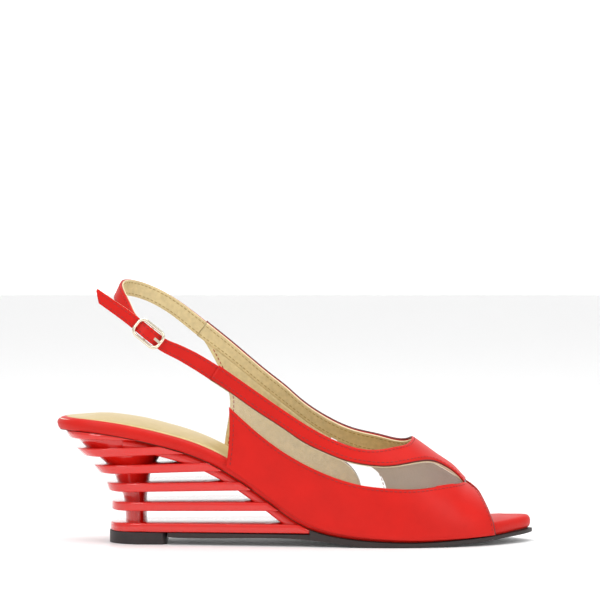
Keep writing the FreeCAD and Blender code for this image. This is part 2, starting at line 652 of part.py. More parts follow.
# Buckle strap, from the outer root back over the centre bar to its free end.
OVER_BAR = [(8.6, 0.4), (6.6, 0.6), (4.4, 1.25), (2.2, 2.1), (0, 2.4)]
outer_out = wall_out(OUTER_ROOT, -1)
punched = [(OUTER_ROOT + Vector(1.7, -0.05, -1), outer_out, STRAP_WIDTH), (OUTER_ROOT, outer_out, STRAP_WIDTH),
           (Vector(-51.2, -26.1, 93.2), (0.05, -1, 0.1), STRAP_WIDTH), (Vector(-60, -26.9, 97.4), (0, -1, 0), 6.6)]
punched += [(at_buckle(reach, out), outward, TAIL_WIDTH) for reach, out in OVER_BAR]
punched += [(at_buckle(-reach, out), outward, TAIL_WIDTH) for reach, out in OVER_BAR[-2::-1] + [(10.6, 0.45)]]
punched += [(Vector(-87.5, -26.6, 117.2), (0, -1, 0), 5.7), (Vector(-99.6, -25.6, 125.6), (0, -1, 0), 5.4)]

# Heel strap, from the inner root round behind the heel to the centre bar.
inner_out = wall_out(INNER_ROOT, 1)
heel_loop = [(INNER_ROOT + Vector(1.7, 0, -1.2), inner_out, 8), (INNER_ROOT, inner_out, 8),
             (Vector(-60.7, 21.4, 116), (-0.2, 1, 0.25), 8), (Vector(-74, 18.6, 123.6), (-0.45, 0.85, 0.2), 8),
             (Vector(-83.6, 11.2, 126.7), (-0.85, 0.5, 0.3), 8.2), (Vector(-87.9, 0.5, 126.4), (-0.91, 0, 0.42), 8.2),
             (Vector(-87.4, -10, 123.4), (-0.85, -0.5, 0.35), 7.6),
             (Vector(-84.2, -18.4, 117.7), (-0.5, -0.8, 0.25), 6.8),
             (at_buckle(-9.6, -1.6), outward, TAIL_WIDTH), (at_buckle(-7, -1.5), outward, TAIL_WIDTH),
             (at_buckle(-4, -1.6), outward, TAIL_WIDTH)]
under_bar = [(at_buckle(reach, out), outward, TAIL_WIDTH) for reach, out in ((-1.6, -1.48), (0.3, -1.44))]


def with_buckle(solid):
    """A solid made in the buckle's frame, put where the buckle is."""
    solid.Placement = buckle_place
    return solid


def bar_round(radius, half_length):
    """A cylinder on the centre bar's axis."""
    return with_buckle(Part.makeCylinder(radius, 2 * half_length, Vector(0, -half_length, 0), Vector(0, 1, 0)))


def buckle_box(reach_low, reach_high, half_width, low, high):
    return with_buckle(block(reach_low, reach_high, -half_width, half_width, low, high))


prong_slot = buckle_box(-2.4, 2.4, dim("prong_width") / 2 + 0.25, -2.2, 2.0)
chape_ring = bar_round(BAR_HOLE + CHAPE, TAIL_WIDTH / 2).cut(buckle_box(-3, 0, 5, 0, 3))
sling = ribbon(heel_loop + under_bar, 0, STRAP_LEATHER).fuse(chape_ring)
sling = sling.cut(bar_round(BAR_HOLE, 5)).cut(prong_slot)

hole_places = [(14.2, 0.1), (-6.4, 0.6), (-12.8, 0.1)]
holes = [Part.makeCylinder(0.8, 8, Vector(reach, 0, out - 4)) for reach, out in hole_places]
prong_hole = block(0.1, 5.3, -1, 1, -0.5, 5)
holes.append(prong_hole)
strap_holes = Part.makeCompound([with_buckle(hole) for hole in holes])
slant = block(-120, -98.4, -40, -10, 90, 140)
slant.rotate(Vector(-98.4, 0, 120), Vector(0, 1, 0), -12)

straps = {
    "sling_strap": sling,
    "sling_strap_lining": ribbon(heel_loop, -STRAP_LINING, 0),
    "punched_strap": ribbon(punched, 0, STRAP_LEATHER).cut(strap_holes).cut(slant),
    "punched_strap_lining": ribbon(punched, -STRAP_LINING, 0).cut(strap_holes).cut(slant),
}
for name, shape in straps.items():
    node(name, freeform(name, solids_only(shape)))

# ---------------------------------------------------------------- buckle

wire = "=dimensions.wire_radius"
frame_parts = []
for sign in (-1, 1):
    end_bar = add("Part::Cylinder", "end_bar", Radius=wire,
                  Height="=dimensions.frame_wide - 2 * dimensions.frame_corner",
                  Placement=Placement(Vector(0, 0, 0), Rotation(Vector(1, 0, 0), -90)))
    end_bar.setExpression("Placement.Base.x", f"{sign} * dimensions.frame_long / 2")
    end_bar.setExpression("Placement.Base.y", "dimensions.frame_corner - dimensions.frame_wide / 2")
    end_bar.setExpression("Placement.Base.z", "dimensions.frame_rise")
    rail = add("Part::Cylinder", "rail", Radius=wire, Height="=dimensions.frame_long - 2 * dimensions.frame_corner",
               Placement=Placement(Vector(0, 0, 0), Rotation(Vector(0, 1, 0), 90)))
    rail.setExpression("Placement.Base.x", "dimensions.frame_corner - dimensions.frame_long / 2")
    rail.setExpression("Placement.Base.y", f"{sign} * dimensions.frame_wide / 2")
    rail.setExpression("Placement.Base.z", "dimensions.frame_rise")
    lug = add("Part::Cylinder", "lug", Radius="=dimensions.wire_radius * 0.86",
              Height="=dimensions.frame_rise + dimensions.bar_radius + 0.15")
    lug.setExpression("Placement.Base.y", f"{sign} * dimensions.frame_wide / 2")
    lug.setExpression("Placement.Base.z", "-dimensions.bar_radius - 0.15")
    frame_parts += [end_bar, rail, lug]
for turn, (sx, sy) in enumerate([(1, 1), (-1, 1), (-1, -1), (1, -1)]):
    corner = add("Part::Torus", "corner", Radius1="=dimensions.frame_corner", Radius2=wire, Angle3=90,
                 Placement=Placement(Vector(0, 0, 0), Rotation(Vector(0, 0, 1), 90 * turn)))
    corner.setExpression("Placement.Base.x", f"{sx} * (dimensions.frame_long / 2 - dimensions.frame_corner)")
    corner.setExpression("Placement.Base.y", f"{sy} * (dimensions.frame_wide / 2 - dimensions.frame_corner)")
    corner.setExpression("Placement.Base.z", "dimensions.frame_rise")
    frame_parts.append(corner)
center_bar = add("Part::Cylinder", "center_bar", Radius="=dimensions.bar_radius", Height="=dimensions.frame_wide",
                 Placement=Placement(Vector(0, 0, 0), Rotation(Vector(1, 0, 0), -90)))
center_bar.setExpression("Placement.Base.y", "-dimensions.frame_wide / 2")
frame_parts.append(center_bar)
buckle_frame = add("Part::MultiFuse", "buckle", Shapes=frame_parts, Refine=True, Placement=buckle_place)
node("buckle_frame", buckle_frame)

PRONG_ANGLE = math.radians(31)
PRONG_LENGTH = 9.3
prong = add("PartDesign::Body", "prong_body")
prong_plane = next(p for p in prong.Origin.OriginFeatures if p.Role == "XZ_Plane")


def prong_sketch(name, geometry):
    sketch = prong.newObject("Sketcher::SketchObject", name)
    sketch.AttachmentSupport = [(prong_plane, "")]
    sketch.MapMode = "FlatFace"
    sketch.addGeometry(geometry, False)
    return sketch


def prong_pad(name, sketch):
    pad = prong.newObject("PartDesign::Pad", name)
    pad.Profile = sketch
    pad.Midplane = True
    pad.setExpression("Length", "dimensions.prong_width")
    doc.recompute()
    return pad


def on_prong(reach, off):
    c, s = math.cos(PRONG_ANGLE), math.sin(PRONG_ANGLE)
    return Vector(reach * c - off * s, reach * s + off * c, 0)


eye = Part.Circle(Vector(0, 0, 0), Vector(0, 0, 1), BAR_HOLE + 0.65)
prong_pad("prong_eye", prong_sketch("prong_eye_outline", [eye]))
arm = [on_prong(0.9, -0.5), on_prong(PRONG_LENGTH - 0.4, -0.4), on_prong(PRONG_LENGTH, 0),
       on_prong(PRONG_LENGTH - 0.4, 0.4), on_prong(0.9, 0.5)]
arm_lines = [Part.LineSegment(a, b) for a, b in zip(arm, arm[1:] + arm[:1])]
prong_pad("prong_arm", prong_sketch("prong_arm_outline", arm_lines))
bore = prong.newObject("PartDesign::Pocket", "prong_bore")
bore.Profile = prong_sketch("prong_bore_outline", [Part.Circle(Vector(0, 0, 0), Vector(0, 0, 1), BAR_HOLE)])
bore.Midplane = True
bore.Length = 6
prong.Placement = buckle_place
node("buckle_prong", prong)

# ---------------------------------------------------------------- checks and files

doc.recompute()
faults = [thing.Name for thing in doc.Objects if {"Invalid", "Error"} & set(thing.State)]
for name, thing in nodes.items():
    if thing.Shape.isNull() or not thing.Shape.isValid() or not thing.Shape.Solids:
        faults.append(name)
if faults:
    raise SystemExit("not written, faults in: " + ", ".join(faults))
os.makedirs("parts", exist_ok=True)
for name, thing in nodes.items():
    thing.Shape.exportStep(f"parts/{name}.step")
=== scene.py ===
"""Slingback wedge sandal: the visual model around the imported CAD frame."""
import math

import bmesh
import bpy
import numpy as np
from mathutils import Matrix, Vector


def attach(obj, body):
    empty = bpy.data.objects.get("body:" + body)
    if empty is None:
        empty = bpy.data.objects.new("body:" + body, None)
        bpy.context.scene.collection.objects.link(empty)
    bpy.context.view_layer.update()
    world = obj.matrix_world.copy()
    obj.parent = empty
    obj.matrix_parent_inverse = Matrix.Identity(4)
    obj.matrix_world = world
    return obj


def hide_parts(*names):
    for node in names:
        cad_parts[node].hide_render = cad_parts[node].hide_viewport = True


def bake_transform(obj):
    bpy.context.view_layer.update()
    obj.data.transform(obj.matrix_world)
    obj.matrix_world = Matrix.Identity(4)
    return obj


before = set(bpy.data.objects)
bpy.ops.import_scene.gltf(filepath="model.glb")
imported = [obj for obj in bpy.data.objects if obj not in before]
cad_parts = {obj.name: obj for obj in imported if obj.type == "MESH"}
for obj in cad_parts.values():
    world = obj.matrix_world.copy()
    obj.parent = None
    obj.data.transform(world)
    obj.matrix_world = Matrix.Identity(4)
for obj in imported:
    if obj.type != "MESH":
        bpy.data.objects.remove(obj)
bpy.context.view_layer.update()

MM = 0.001

# ---------------------------------------------------------------- curves (all lengths in mm)


def cubic(knots, values, at):
    """Natural cubic spline through values at the knots, read at the given parameters."""
    knots, values = np.asarray(knots, float), np.asarray(values, float)
    if values.ndim == 1:
        values = values[:, None]
    count = len(knots)
    gap = np.diff(knots)
    matrix = np.zeros((count, count))
    right = np.zeros_like(values)
    matrix[0, 0] = matrix[-1, -1] = 1
    for i in range(1, count - 1):
        matrix[i, i - 1:i + 2] = gap[i - 1], 2 * (gap[i - 1] + gap[i]), gap[i]
        right[i] = 6 * ((values[i + 1] - values[i]) / gap[i] - (values[i] - values[i - 1]) / gap[i - 1])
    bend = np.linalg.solve(matrix, right)
    i = np.clip(np.searchsorted(knots, at, side="right") - 1, 0, count - 2)
    h = gap[i][:, None]
    a = (knots[i + 1] - at)[:, None] / h
    b = 1 - a
    return (a * values[i] + b * values[i + 1]
            + ((a**3 - a) * bend[i] + (b**3 - b) * bend[i + 1]) * h**2 / 6)


def lengths(points):
    return np.concatenate([[0], np.cumsum(np.linalg.norm(np.diff(points, axis=0), axis=1))])


def even(points, count):
    """The polyline resampled at even steps of its length."""
    along = lengths(points)
    at = np.linspace(0, along[-1], count)
    return np.stack([np.interp(at, along, points[:, k]) for k in range(points.shape[1])], axis=1)


def through(points, count=80):
    """A smooth curve through the points, as count evenly spaced points."""
    points = np.array(points, float)
    knots = lengths(points)
    dense = cubic(knots, points, np.linspace(0, knots[-1], 12 * len(points) + 200))
    return even(dense, count)


def closed_through(points, count):
    """A smooth closed curve through the points, by running past both ends of the loop."""
    points = np.array(points, float)
    turn = len(points)
    three = np.concatenate([points, points, points, points[:1]])
    knots = lengths(three)
    at = np.linspace(knots[turn], knots[2 * turn], count, endpoint=False)
    return cubic(knots, three, at)


def graph(points):
    """z or y as a function of x, through the points."""
    line = through(points, 500)
    return lambda x: np.interp(x, line[:, 0], line[:, 1])


# ---------------------------------------------------------------- the foot's lines

REAR, FRONT = -118.75, 117.55
MEDIAL_EDGE = [(-112, 15), (-98, 23), (-75, 25.5), (-45, 22.5), (-15, 20.5), (15, 26), (42, 34.4), (62, 36.2),
               (84, 33.4), (100, 26), (111, 16.5)]
LATERAL_EDGE = [(-112, -15), (-98, -23), (-75, -25.5), (-45, -25.5), (-15, -27.5), (12, -31.8),
                (38, -36.2), (60, -36), (83, -30), (99, -20.5), (110.5, -8)]
FEATHER = [(REAR, 56.6), (-101, 55.7), (-84.8, 53.4), (-68, 49.6), (-51.4, 44.6), (-34.9, 36.6), (-14, 22.1),
           (8.2, 8.0), (22, 4.6), (43, 2.7), (60, 2.3), (85, 3.5), (99, 4.6), (FRONT, 6.8)]
CREST = [(-60, 162), (-35, 136), (-13, 113), (8, 91), (22, 78), (32, 70), (43.5, 62), (52, 56.4),
         (59.6, 51.7), (66, 47.2), (72.7, 42.4), (80.2, 36.9), (84.3, 32.4), (92, 26.4), (99, 21.4),
         (106, 17)]
medial_y = graph([(REAR, 2)] + MEDIAL_EDGE + [(FRONT, 6)])
lateral_y = graph([(REAR, -2)] + LATERAL_EDGE + [(FRONT, 3.6)])
feather_z = graph(FEATHER)
crest_z = graph(CREST)
OUTLINE = closed_through([(REAR, 0)] + MEDIAL_EDGE + [(FRONT, 5.2)] + LATERAL_EDGE[::-1], 720)
STAND = 2.2
LEATHER, LINING = 1.2, 0.8
ROUND = 0.8


def arch(x, turn, depth=0.0):
    """A point of the upper's arch. turn runs from 0 at the outer side of the foot over the top to pi."""
    x, turn = np.asarray(x, float), np.asarray(turn, float)
    middle = (medial_y(x) + lateral_y(x)) / 2
    half = (medial_y(x) - lateral_y(x)) / 2 + STAND - depth
    foot = feather_z(x)
    height = crest_z(x) - foot - depth
    z = foot + height * np.maximum(np.sin(turn), 0) ** ROUND
    return np.stack([x, middle - half * np.cos(turn), z], axis=-1)


def arch_out(x, turn, depth=0.0):
    """Outward direction of the arch there."""
    step = 0.02
    turn = np.clip(turn, step, math.pi - step)
    across = arch(x, turn + step, depth) - arch(x, turn - step, depth)
    ahead = arch(x + 1, turn, depth) - arch(x - 1, turn, depth)
    out = np.cross(ahead, across)
    return out / np.linalg.norm(out, axis=-1, keepdims=True)


def turn_of(x, z, side):
    """Where a side-view point lies on the arch. side is -1 on the foot's outer side and 1 on its inner."""
    foot = feather_z(x)
    share = np.clip((z - foot) / (crest_z(x) - foot), 0, 1)
    turn = np.arcsin(share ** (1 / ROUND))
    return turn if side < 0 else math.pi - turn


def on_arch(points, side):
    """A side-view line as (x, turn)."""
    points = np.asarray(points, float)
    return np.stack([points[:, 0], turn_of(points[:, 0], points[:, 1], side)], axis=1)


def side_line(points, side, count, rise=0.0, forward=0.0):
    """A smooth side-view line, shifted, laid on the arch and spaced evenly on it."""
    line = through(points, 400) + np.array([forward, rise])
    line[:, 1] = np.maximum(line[:, 1], feather_z(line[:, 0]))
    line = on_arch(line, side)
    along = lengths(arch(line[:, 0], line[:, 1]))
    at = np.linspace(0, along[-1], count)
    return np.stack([np.interp(at, along, line[:, k]) for k in (0, 1)], axis=1)


# ---------------------------------------------------------------- meshes

TURN_MM = 60
MERGE = 0.002

def build(name, points, faces, materials, face_materials=None):
    """A Blender object from points in mm, smooth shaded, with its faces turned outwards."""
    mesh = bpy.data.meshes.new(name)
    corners = [tuple(point) for point in np.asarray(points, float) * MM]
    mesh.from_pydata(corners, [], [tuple(map(int, face)) for face in faces])
    for material in materials:
        mesh.materials.append(material)
    if face_materials is not None:
        mesh.polygons.foreach_set("material_index", np.asarray(face_materials, np.int32))
    shape = bmesh.new()
    shape.from_mesh(mesh)
    bmesh.ops.remove_doubles(shape, verts=shape.verts, dist=MERGE * MM)
    bmesh.ops.dissolve_degenerate(shape, edges=shape.edges, dist=MERGE * MM)
    bmesh.ops.recalc_face_normals(shape, faces=shape.faces)
    for face in shape.faces:
        face.smooth = True
    shape.to_mesh(mesh)
    shape.free()
    thing = bpy.data.objects.new(name, mesh)
    bpy.context.scene.collection.objects.link(thing)
    return thing


def grid_faces(rows, columns, start=0):
    """Quads of a grid of points stored row by row."""
    i, j = np.meshgrid(np.arange(rows - 1), np.arange(columns - 1), indexing="ij")
    a = (start + i * columns + j).ravel()
    return np.stack([a, a + 1, a + columns + 1, a + columns], axis=1)


def ruled(low, high, rows):
    """(x, turn) points between two lines of the same count, row by row from low to high."""
    share = np.linspace(0, 1, rows)[:, None, None]
    return low[None] * (1 - share) + high[None] * share


def coons(low, high, rear, front):
    """(x, turn) points inside four edge lines. low and high run forward, rear and front run up. How rear and
    front bow fades out quickly away from them."""
    fade = 5
    up = np.linspace(0, 1, len(rear))[:, None]
    rear_bow = rear - ((1 - up) * rear[0] + up * rear[-1])
    front_bow = front - ((1 - up) * front[0] + up * front[-1])
    ahead = np.linspace(0, 1, len(low))[None, :, None]
    return (ruled(low, high, len(rear)) + (1 - ahead) ** fade * rear_bow[:, None]
            + ahead**fade * front_bow[:, None])


def weld(patches):
    """Several (x, turn) grids as one set of points and quads, joined where they share points."""
    points, faces, start = [], [], 0
    for patch in patches:
        rows, columns = patch.shape[:2]
        points.append(patch.reshape(-1, 2))
        faces.append(grid_faces(rows, columns, start))
        start += rows * columns
    points, faces = np.concatenate(points), np.concatenate(faces)
    keys = np.round(points * [1e3, 1e5]).astype(np.int64)
    _, first, same = np.unique(keys, axis=0, return_index=True, return_inverse=True)
    faces = same.reshape(-1)[faces]
    keep = [len(set(face)) == 4 for face in faces]
    return points[first], faces[keep]


def skin(name, patches, outer, inner, materials, rounding=0.3, flush=()):
    """A closed skin over patches of the arch between two depths, with rounded rims. Materials: outside, rim,
    inside. The rim stays square along the flush lines, where the skin runs on into the next piece."""
    flat, faces = weld(patches)
    count = {}
    for face in faces:
        for a, b in zip(face, np.roll(face, -1)):
            count[(a, b)] = count.get((a, b), 0) + 1
    rim = [(a, b) for a, b in count if (b, a) not in count]
    after = dict(rim)
    before = {b: a for a, b in rim}
    edge = np.array(sorted(after))
    x, turn = flat[:, 0], flat[:, 1]
    top, under = arch(x, turn, outer), arch(x, turn, inner)
    out = arch_out(x, turn, (outer + inner) / 2)
    tangent = np.array([top[after[v]] - top[before[v]] for v in edge])
    inward = np.cross(out[edge], tangent)
    inward /= np.maximum(np.linalg.norm(inward, axis=1, keepdims=True), 1e-9)
    centre = {v: [] for v in edge}
    for face in faces:
        for v in face:
            if v in centre:
                centre[v].append(top[face].mean(axis=0))
    to_middle = np.array([np.mean(centre[v], axis=0) - top[v] for v in edge])
    inward *= np.sign(np.sum(inward * to_middle, axis=1, keepdims=True))
    depth = inner - outer
    rounding = min(rounding, depth * 0.45)
    if len(flush):
        square = np.concatenate([np.asarray(line).reshape(-1, 2) for line in flush]) * [1, TURN_MM]
        gap = np.linalg.norm((flat[edge] * [1, TURN_MM])[:, None] - square[None], axis=2).min(axis=1)
        inward[gap < 0.01] = 0
    wall_high = top[edge] - out[edge] * rounding
    wall_low = under[edge] + out[edge] * rounding
    top[edge] += inward * rounding
    under[edge] += inward * rounding
    n, m = len(flat), len(edge)
    place = {v: k for k, v in enumerate(edge)}
    points = np.concatenate([top, under, wall_high, wall_low])
    all_faces = [tuple(face) for face in faces] + [tuple(face[::-1] + n) for face in faces]
    kinds = [0] * len(faces) + [2] * len(faces)
    high, low = 2 * n, 2 * n + m
    for a, b in rim:
        i, j = place[a], place[b]
        all_faces += [(b, a, high + i, high + j), (high + j, high + i, low + i, low + j),
                      (low + j, low + i, n + a, n + b)]
        kinds += [0, 1, 2]
    return build(name, points, all_faces, materials, kinds)


def seam_points(line, inset, depth, side_hint):
    """Points and outward directions of a stitch row that runs at that inset from an (x, turn) edge line."""
    x, turn = line[:, 0], line[:, 1]
    points, out = arch(x, turn, depth), arch_out(x, turn, depth)
    tangent = np.gradient(points, axis=0)
    across = np.cross(out, tangent)
    across /= np.linalg.norm(across, axis=1, keepdims=True)
    return points + across * inset * side_hint, out


def stitches(name, rows, material, pitch=2.3, size=(0.9, 0.26, 0.2)):
    """Small thread stitches along rows of (points, outward directions), as one mesh. size is half a stitch's
    length, width and height."""
    sides = 6
    rings = [(-0.8, 0.65), (0.0, 1.0), (0.8, 0.65)]
    points, faces = [], []
    for line, outs in rows:
        along = lengths(line)
        count = max(int(along[-1] / pitch), 1)
        at = (np.arange(count) + 0.5) * along[-1] / count
        centre = np.stack([np.interp(at, along, line[:, k]) for k in range(3)], axis=1)
        ahead = np.stack([np.interp(at + 0.3, along, line[:, k]) - np.interp(at - 0.3, along, line[:, k])
                          for k in range(3)], axis=1)
        out = np.stack([np.interp(at, along, outs[:, k]) for k in range(3)], axis=1)
        for c, t, o in zip(centre, ahead, out):
            t = t / max(np.linalg.norm(t), 1e-9)
            across = np.cross(o, t)
            across /= max(np.linalg.norm(across), 1e-9)
            o = np.cross(t, across)
            start = len(points)
            points.append(c - t * size[0])
            for reach, width in rings:
                for k in range(sides):
                    a = 2 * math.pi * k / sides
                    points.append(c + t * size[0] * reach + across * size[1] * width * math.cos(a)
                                  + o * size[2] * width * math.sin(a))
            points.append(c + t * size[0])
            last = len(points) - 1
            for k in range(sides):
                k2 = (k + 1) % sides
                faces.append((start, start + 1 + k2, start + 1 + k))
                for ring in range(len(rings) - 1):
                    a = start + 1 + ring * sides
                    faces.append((a + k, a + k2, a + sides + k2, a + sides + k))
                a = start + 1 + (len(rings) - 1) * sides
                faces.append((a + k, a + k2, last))
    return build(name, points, faces, [material])


# ---------------------------------------------------------------- materials


def linear(red, green, blue):
    """An sRGB colour out of 255 as the shader's linear colour."""
    shares = [c / 255 for c in (red, green, blue)]
    return tuple(((c + 0.055) / 1.055) ** 2.4 if c > 0.04 else c / 12.92 for c in shares) + (1,)


def finish_material(name, colour, roughness, grain=0.0, cell=0.8, mottle=0.05, spread=18.0, bevel=0.0,
                    **sockets):
    """A procedural finish. cell and spread are the grain's and the colour drift's sizes in mm; bevel rounds
    hard edges by that many mm."""
    material = bpy.data.materials.new(name)
    material.use_nodes = True
    nodes, links = material.node_tree.nodes, material.node_tree.links
    shader = nodes["Principled BSDF"]
    shader.inputs["Roughness"].default_value = roughness
    for socket, value in sockets.items():
        shader.inputs[socket.replace("_", " ")].default_value = value
    place = nodes.new("ShaderNodeTexCoord").outputs["Object"]
    drift = nodes.new("ShaderNodeTexNoise")
    drift.inputs["Scale"].default_value = 1 / (spread * MM)
    drift.inputs["Detail"].default_value = 5
    links.new(place, drift.inputs["Vector"])
    ramp = nodes.new("ShaderNodeValToRGB")
    base = np.array(linear(*colour))
    ramp.color_ramp.elements[0].position = 0.3
    ramp.color_ramp.elements[1].position = 0.7
    ramp.color_ramp.elements[0].color = tuple(np.clip(base * (1 - mottle), 0, 1)[:3]) + (1,)
    ramp.color_ramp.elements[1].color = tuple(np.clip(base * (1 + mottle), 0, 1)[:3]) + (1,)
    links.new(drift.outputs["Fac"], ramp.inputs["Fac"])
    links.new(ramp.outputs["Color"], shader.inputs["Base Color"])
    normal = None
    if bevel:
        rounded = nodes.new("ShaderNodeBevel")
        rounded.samples = 6
        rounded.inputs["Radius"].default_value = bevel * MM
        normal = rounded.outputs["Normal"]
    if grain:
        cells = nodes.new("ShaderNodeTexVoronoi")
        cells.inputs["Scale"].default_value = 1 / (cell * MM)
        fine = nodes.new("ShaderNodeTexNoise")
        fine.inputs["Scale"].default_value = 0.45 / (cell * MM)
        fine.inputs["Detail"].default_value = 4
        both = nodes.new("ShaderNodeMath")
        both.operation = "MULTIPLY_ADD"
        both.inputs[1].default_value = 0.6
        for node in (cells, fine):
            links.new(place, node.inputs["Vector"])
        links.new(cells.outputs["Distance"], both.inputs[0])
        links.new(fine.outputs["Fac"], both.inputs[2])
        bump = nodes.new("ShaderNodeBump")
        bump.inputs["Strength"].default_value = grain
        bump.inputs["Distance"].default_value = 0.25 * MM
        links.new(both.outputs["Value"], bump.inputs["Height"])
        if normal:
            links.new(normal, bump.inputs["Normal"])
        normal = bump.outputs["Normal"]
    if normal:
        links.new(normal, shader.inputs["Normal"])
    return material


RED = finish_material("red_nappa", (200, 22, 12), 0.5, grain=0.22, cell=0.7, mottle=0.07, Coat_Weight=0.06,
                      Coat_Roughness=0.3, Specular_IOR_Level=0.2)
RED_WRAP = finish_material("red_wrap", (200, 24, 14), 0.46, grain=0.2, cell=0.7, mottle=0.07,
                           Specular_IOR_Level=0.25)
EDGE = finish_material("dark_edge_paint", (92, 22, 18), 0.5, grain=0.1, cell=0.5, mottle=0.15, spread=4)
GOLD = finish_material("gold_kid_lining", (212, 192, 144), 0.45, grain=0.6, cell=0.95, mottle=0.1,
                       spread=2.5, Metallic=0.3)
TAUPE = finish_material("taupe_lining", (176, 154, 126), 0.6, grain=0.35, cell=0.9, mottle=0.06, spread=5)
CREAM = finish_material("lining_cut_edge", (238, 226, 190), 0.6, grain=0.1, cell=0.5, mottle=0.06, spread=4)
SOCK = finish_material("gold_sock_leather", (202, 180, 128), 0.42, grain=0.35, cell=0.9, mottle=0.05,
                       spread=6, Metallic=0.25)
THREAD = finish_material("red_thread", (150, 18, 14), 0.6, grain=0.2, cell=0.3, mottle=0.12, spread=2)
GOLD_THREAD = finish_material("gold_thread", (168, 140, 84), 0.55, grain=0.2, cell=0.3, mottle=0.12, spread=2)
VINYL = finish_material("clear_vinyl", (250, 248, 244), 0.05, mottle=0.01, Alpha=0.08, Specular_IOR_Level=0.9)
PLASTIC = finish_material("red_heel_gloss", (214, 26, 17), 0.13, mottle=0.04, spread=25,
                          Coat_Weight=0.5, Coat_Roughness=0.03, Specular_IOR_Level=0.5)
RUBBER = finish_material("outsole_rubber", (40, 30, 29), 0.55, grain=0.35, cell=0.8, mottle=0.15, spread=6,
                         bevel=0.3)
TOP_RUBBER = finish_material("top_piece_rubber", (40, 31, 32), 0.5, grain=0.3, cell=0.6, mottle=0.12,
                             spread=5, bevel=0.4)
# Painted shade: the insole board is coloured a dark red-brown so that its edge stands in for the shadow line
# under the footbed's rim.
BOARD_PAINTED_SHADE = finish_material("board_fibre", (84, 40, 30), 0.85, grain=0.4, cell=0.5, mottle=0.2, spread=2)
FOAM = finish_material("insole_foam", (236, 230, 214), 0.9, grain=0.4, cell=0.6, mottle=0.06, spread=3)
CORK = finish_material("cork_filler", (176, 128, 84), 0.85, grain=0.5, cell=1.4, mottle=0.3, spread=1.5)
STEEL = finish_material("shank_steel", (150, 152, 156), 0.32, grain=0.15, cell=0.8, mottle=0.08, spread=6,
                        Metallic=1.0)
BUCKLE = finish_material("pale_buckle_metal", (232, 222, 200), 0.2, grain=0.04, cell=0.6, mottle=0.03,
                         spread=3, Metallic=0.9)
FLOOR = finish_material("studio_white", (242, 242, 242), 0.4, mottle=0.0, spread=400,
                        Specular_IOR_Level=0.1, Emission_Color=(1, 1, 1, 1), Emission_Strength=0.04)
WALL_WHITE = finish_material("studio_wall_white", (250, 250, 250), 0.6, mottle=0.0, spread=400,
                             Specular_IOR_Level=0.0, Emission_Color=(1, 1, 1, 1), Emission_Strength=0.5)

CAD_FINISHES = {
    "outsole": RUBBER, "heel_top_piece": TOP_RUBBER, "top_piece_pins": STEEL,
    "heel_screw": STEEL, "heel_nails": STEEL, "shank_rivets": STEEL, "steel_shank": STEEL,
    # the insole board takes the dark board colour that paints in the shadow line under the rim
    "insole_board": BOARD_PAINTED_SHADE, "bottom_filler": CORK, "footbed_foam": FOAM,
    "buckle_frame": BUCKLE, "buckle_prong": BUCKLE,
}
for node_name, finish in CAD_FINISHES.items():
    cad_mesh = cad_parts[node_name].data
    if not cad_mesh.materials:
        cad_mesh.materials.append(finish)
    for index in range(len(cad_mesh.materials)):
        cad_mesh.materials[index] = finish

# ---------------------------------------------------------------- where the straps hinge

SWING_AXIS = np.array([-0.142569, 0.906610, 0.397155])
back = np.array([-0.84, 0, 0.54])
back -= SWING_AXIS * back.dot(SWING_AXIS)
back /= np.linalg.norm(back)


def hinged(thing):
    """Fabric that crosses the strap roots, with its placement baked into its mesh."""
    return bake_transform(thing)


def carried(thing, body, crosses):
    """Hangs a piece on its body, or bakes its placement into its mesh where it crosses the strap roots."""
    return hinged(thing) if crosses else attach(thing, body)


# ---------------------------------------------------------------- the upper's edges in side view, (x, z)

LAT_TOPLINE = [(-37.8, 89.8), (-22.6, 79.2), (-3.4, 66), (8.2, 58.7), (22.2, 51.8), (32.8, 48.7),
               (43.4, 48.4), (50.4, 49.3), (57.5, 51.3), (59.6, 54.5)]
LAT_BAND_LOW = [(-42.2, 83), (-33.8, 77.6), (-19.8, 67.8), (-5.8, 58.8), (4.8, 51.8), (15.2, 47),
                (22.2, 44.2), (36.4, 41.1), (47, 40.6), (60.2, 42.3), (68.8, 42), (73.8, 39.8),
                (80.2, 35.4), (84.3, 30.9)]
LAT_VAMP_TOP = [(-33, 69.4), (-19.8, 57.4), (-5.8, 47), (8.2, 39.3), (22.2, 33.8), (32.8, 31.1),
                (43.4, 29.8), (60.2, 29.1), (74.2, 30.3), (84.3, 30.9)]
LAT_VAMP_REAR = [(-34.5, 36.4), (-33.3, 46.9), (-32.7, 60.9), (-33, 69.4)]
PEEP_EDGE = [(99.4, 4.7), (98.6, 10.5), (95.3, 18.8), (91.8, 25.1), (84.3, 30.9)]
MED_TOPLINE = [(-44.4, 109.4), (-32.2, 99.7), (-22.6, 91.6), (-12.8, 83.5), (-3.4, 76), (1.2, 71.8),
               (15.2, 61.9), (29.2, 55.4), (43.4, 52.1), (57.5, 51.8), (59.6, 54.5)]
MED_BAND_LOW = [(-49.6, 103), (-46.4, 100.6), (-32.2, 90), (-22.6, 82), (-3.4, 66.6), (5, 60), (21, 50),
                (36, 44.6), (50, 43.6), (60, 44.2), (68, 42.6), (73.7, 39.9), (80.2, 35.4), (84.3, 30.9)]
MED_QUARTER_REAR = [(-36.6, 37.5), (-35.2, 49.9), (-33.8, 58.9), (-33, 69.4), (-34.1, 75.4), (-39.8, 88.9),
                    (-45, 98.6), (-46.2, 100.5)]
CRESCENT_REAR = [(29.6, 3.6), (31.5, 12), (33.6, 21), (32.2, 29.1), (28.2, 35.3), (22.8, 39.6), (18.4, 43.6),
                 (18.6, 51.5)]
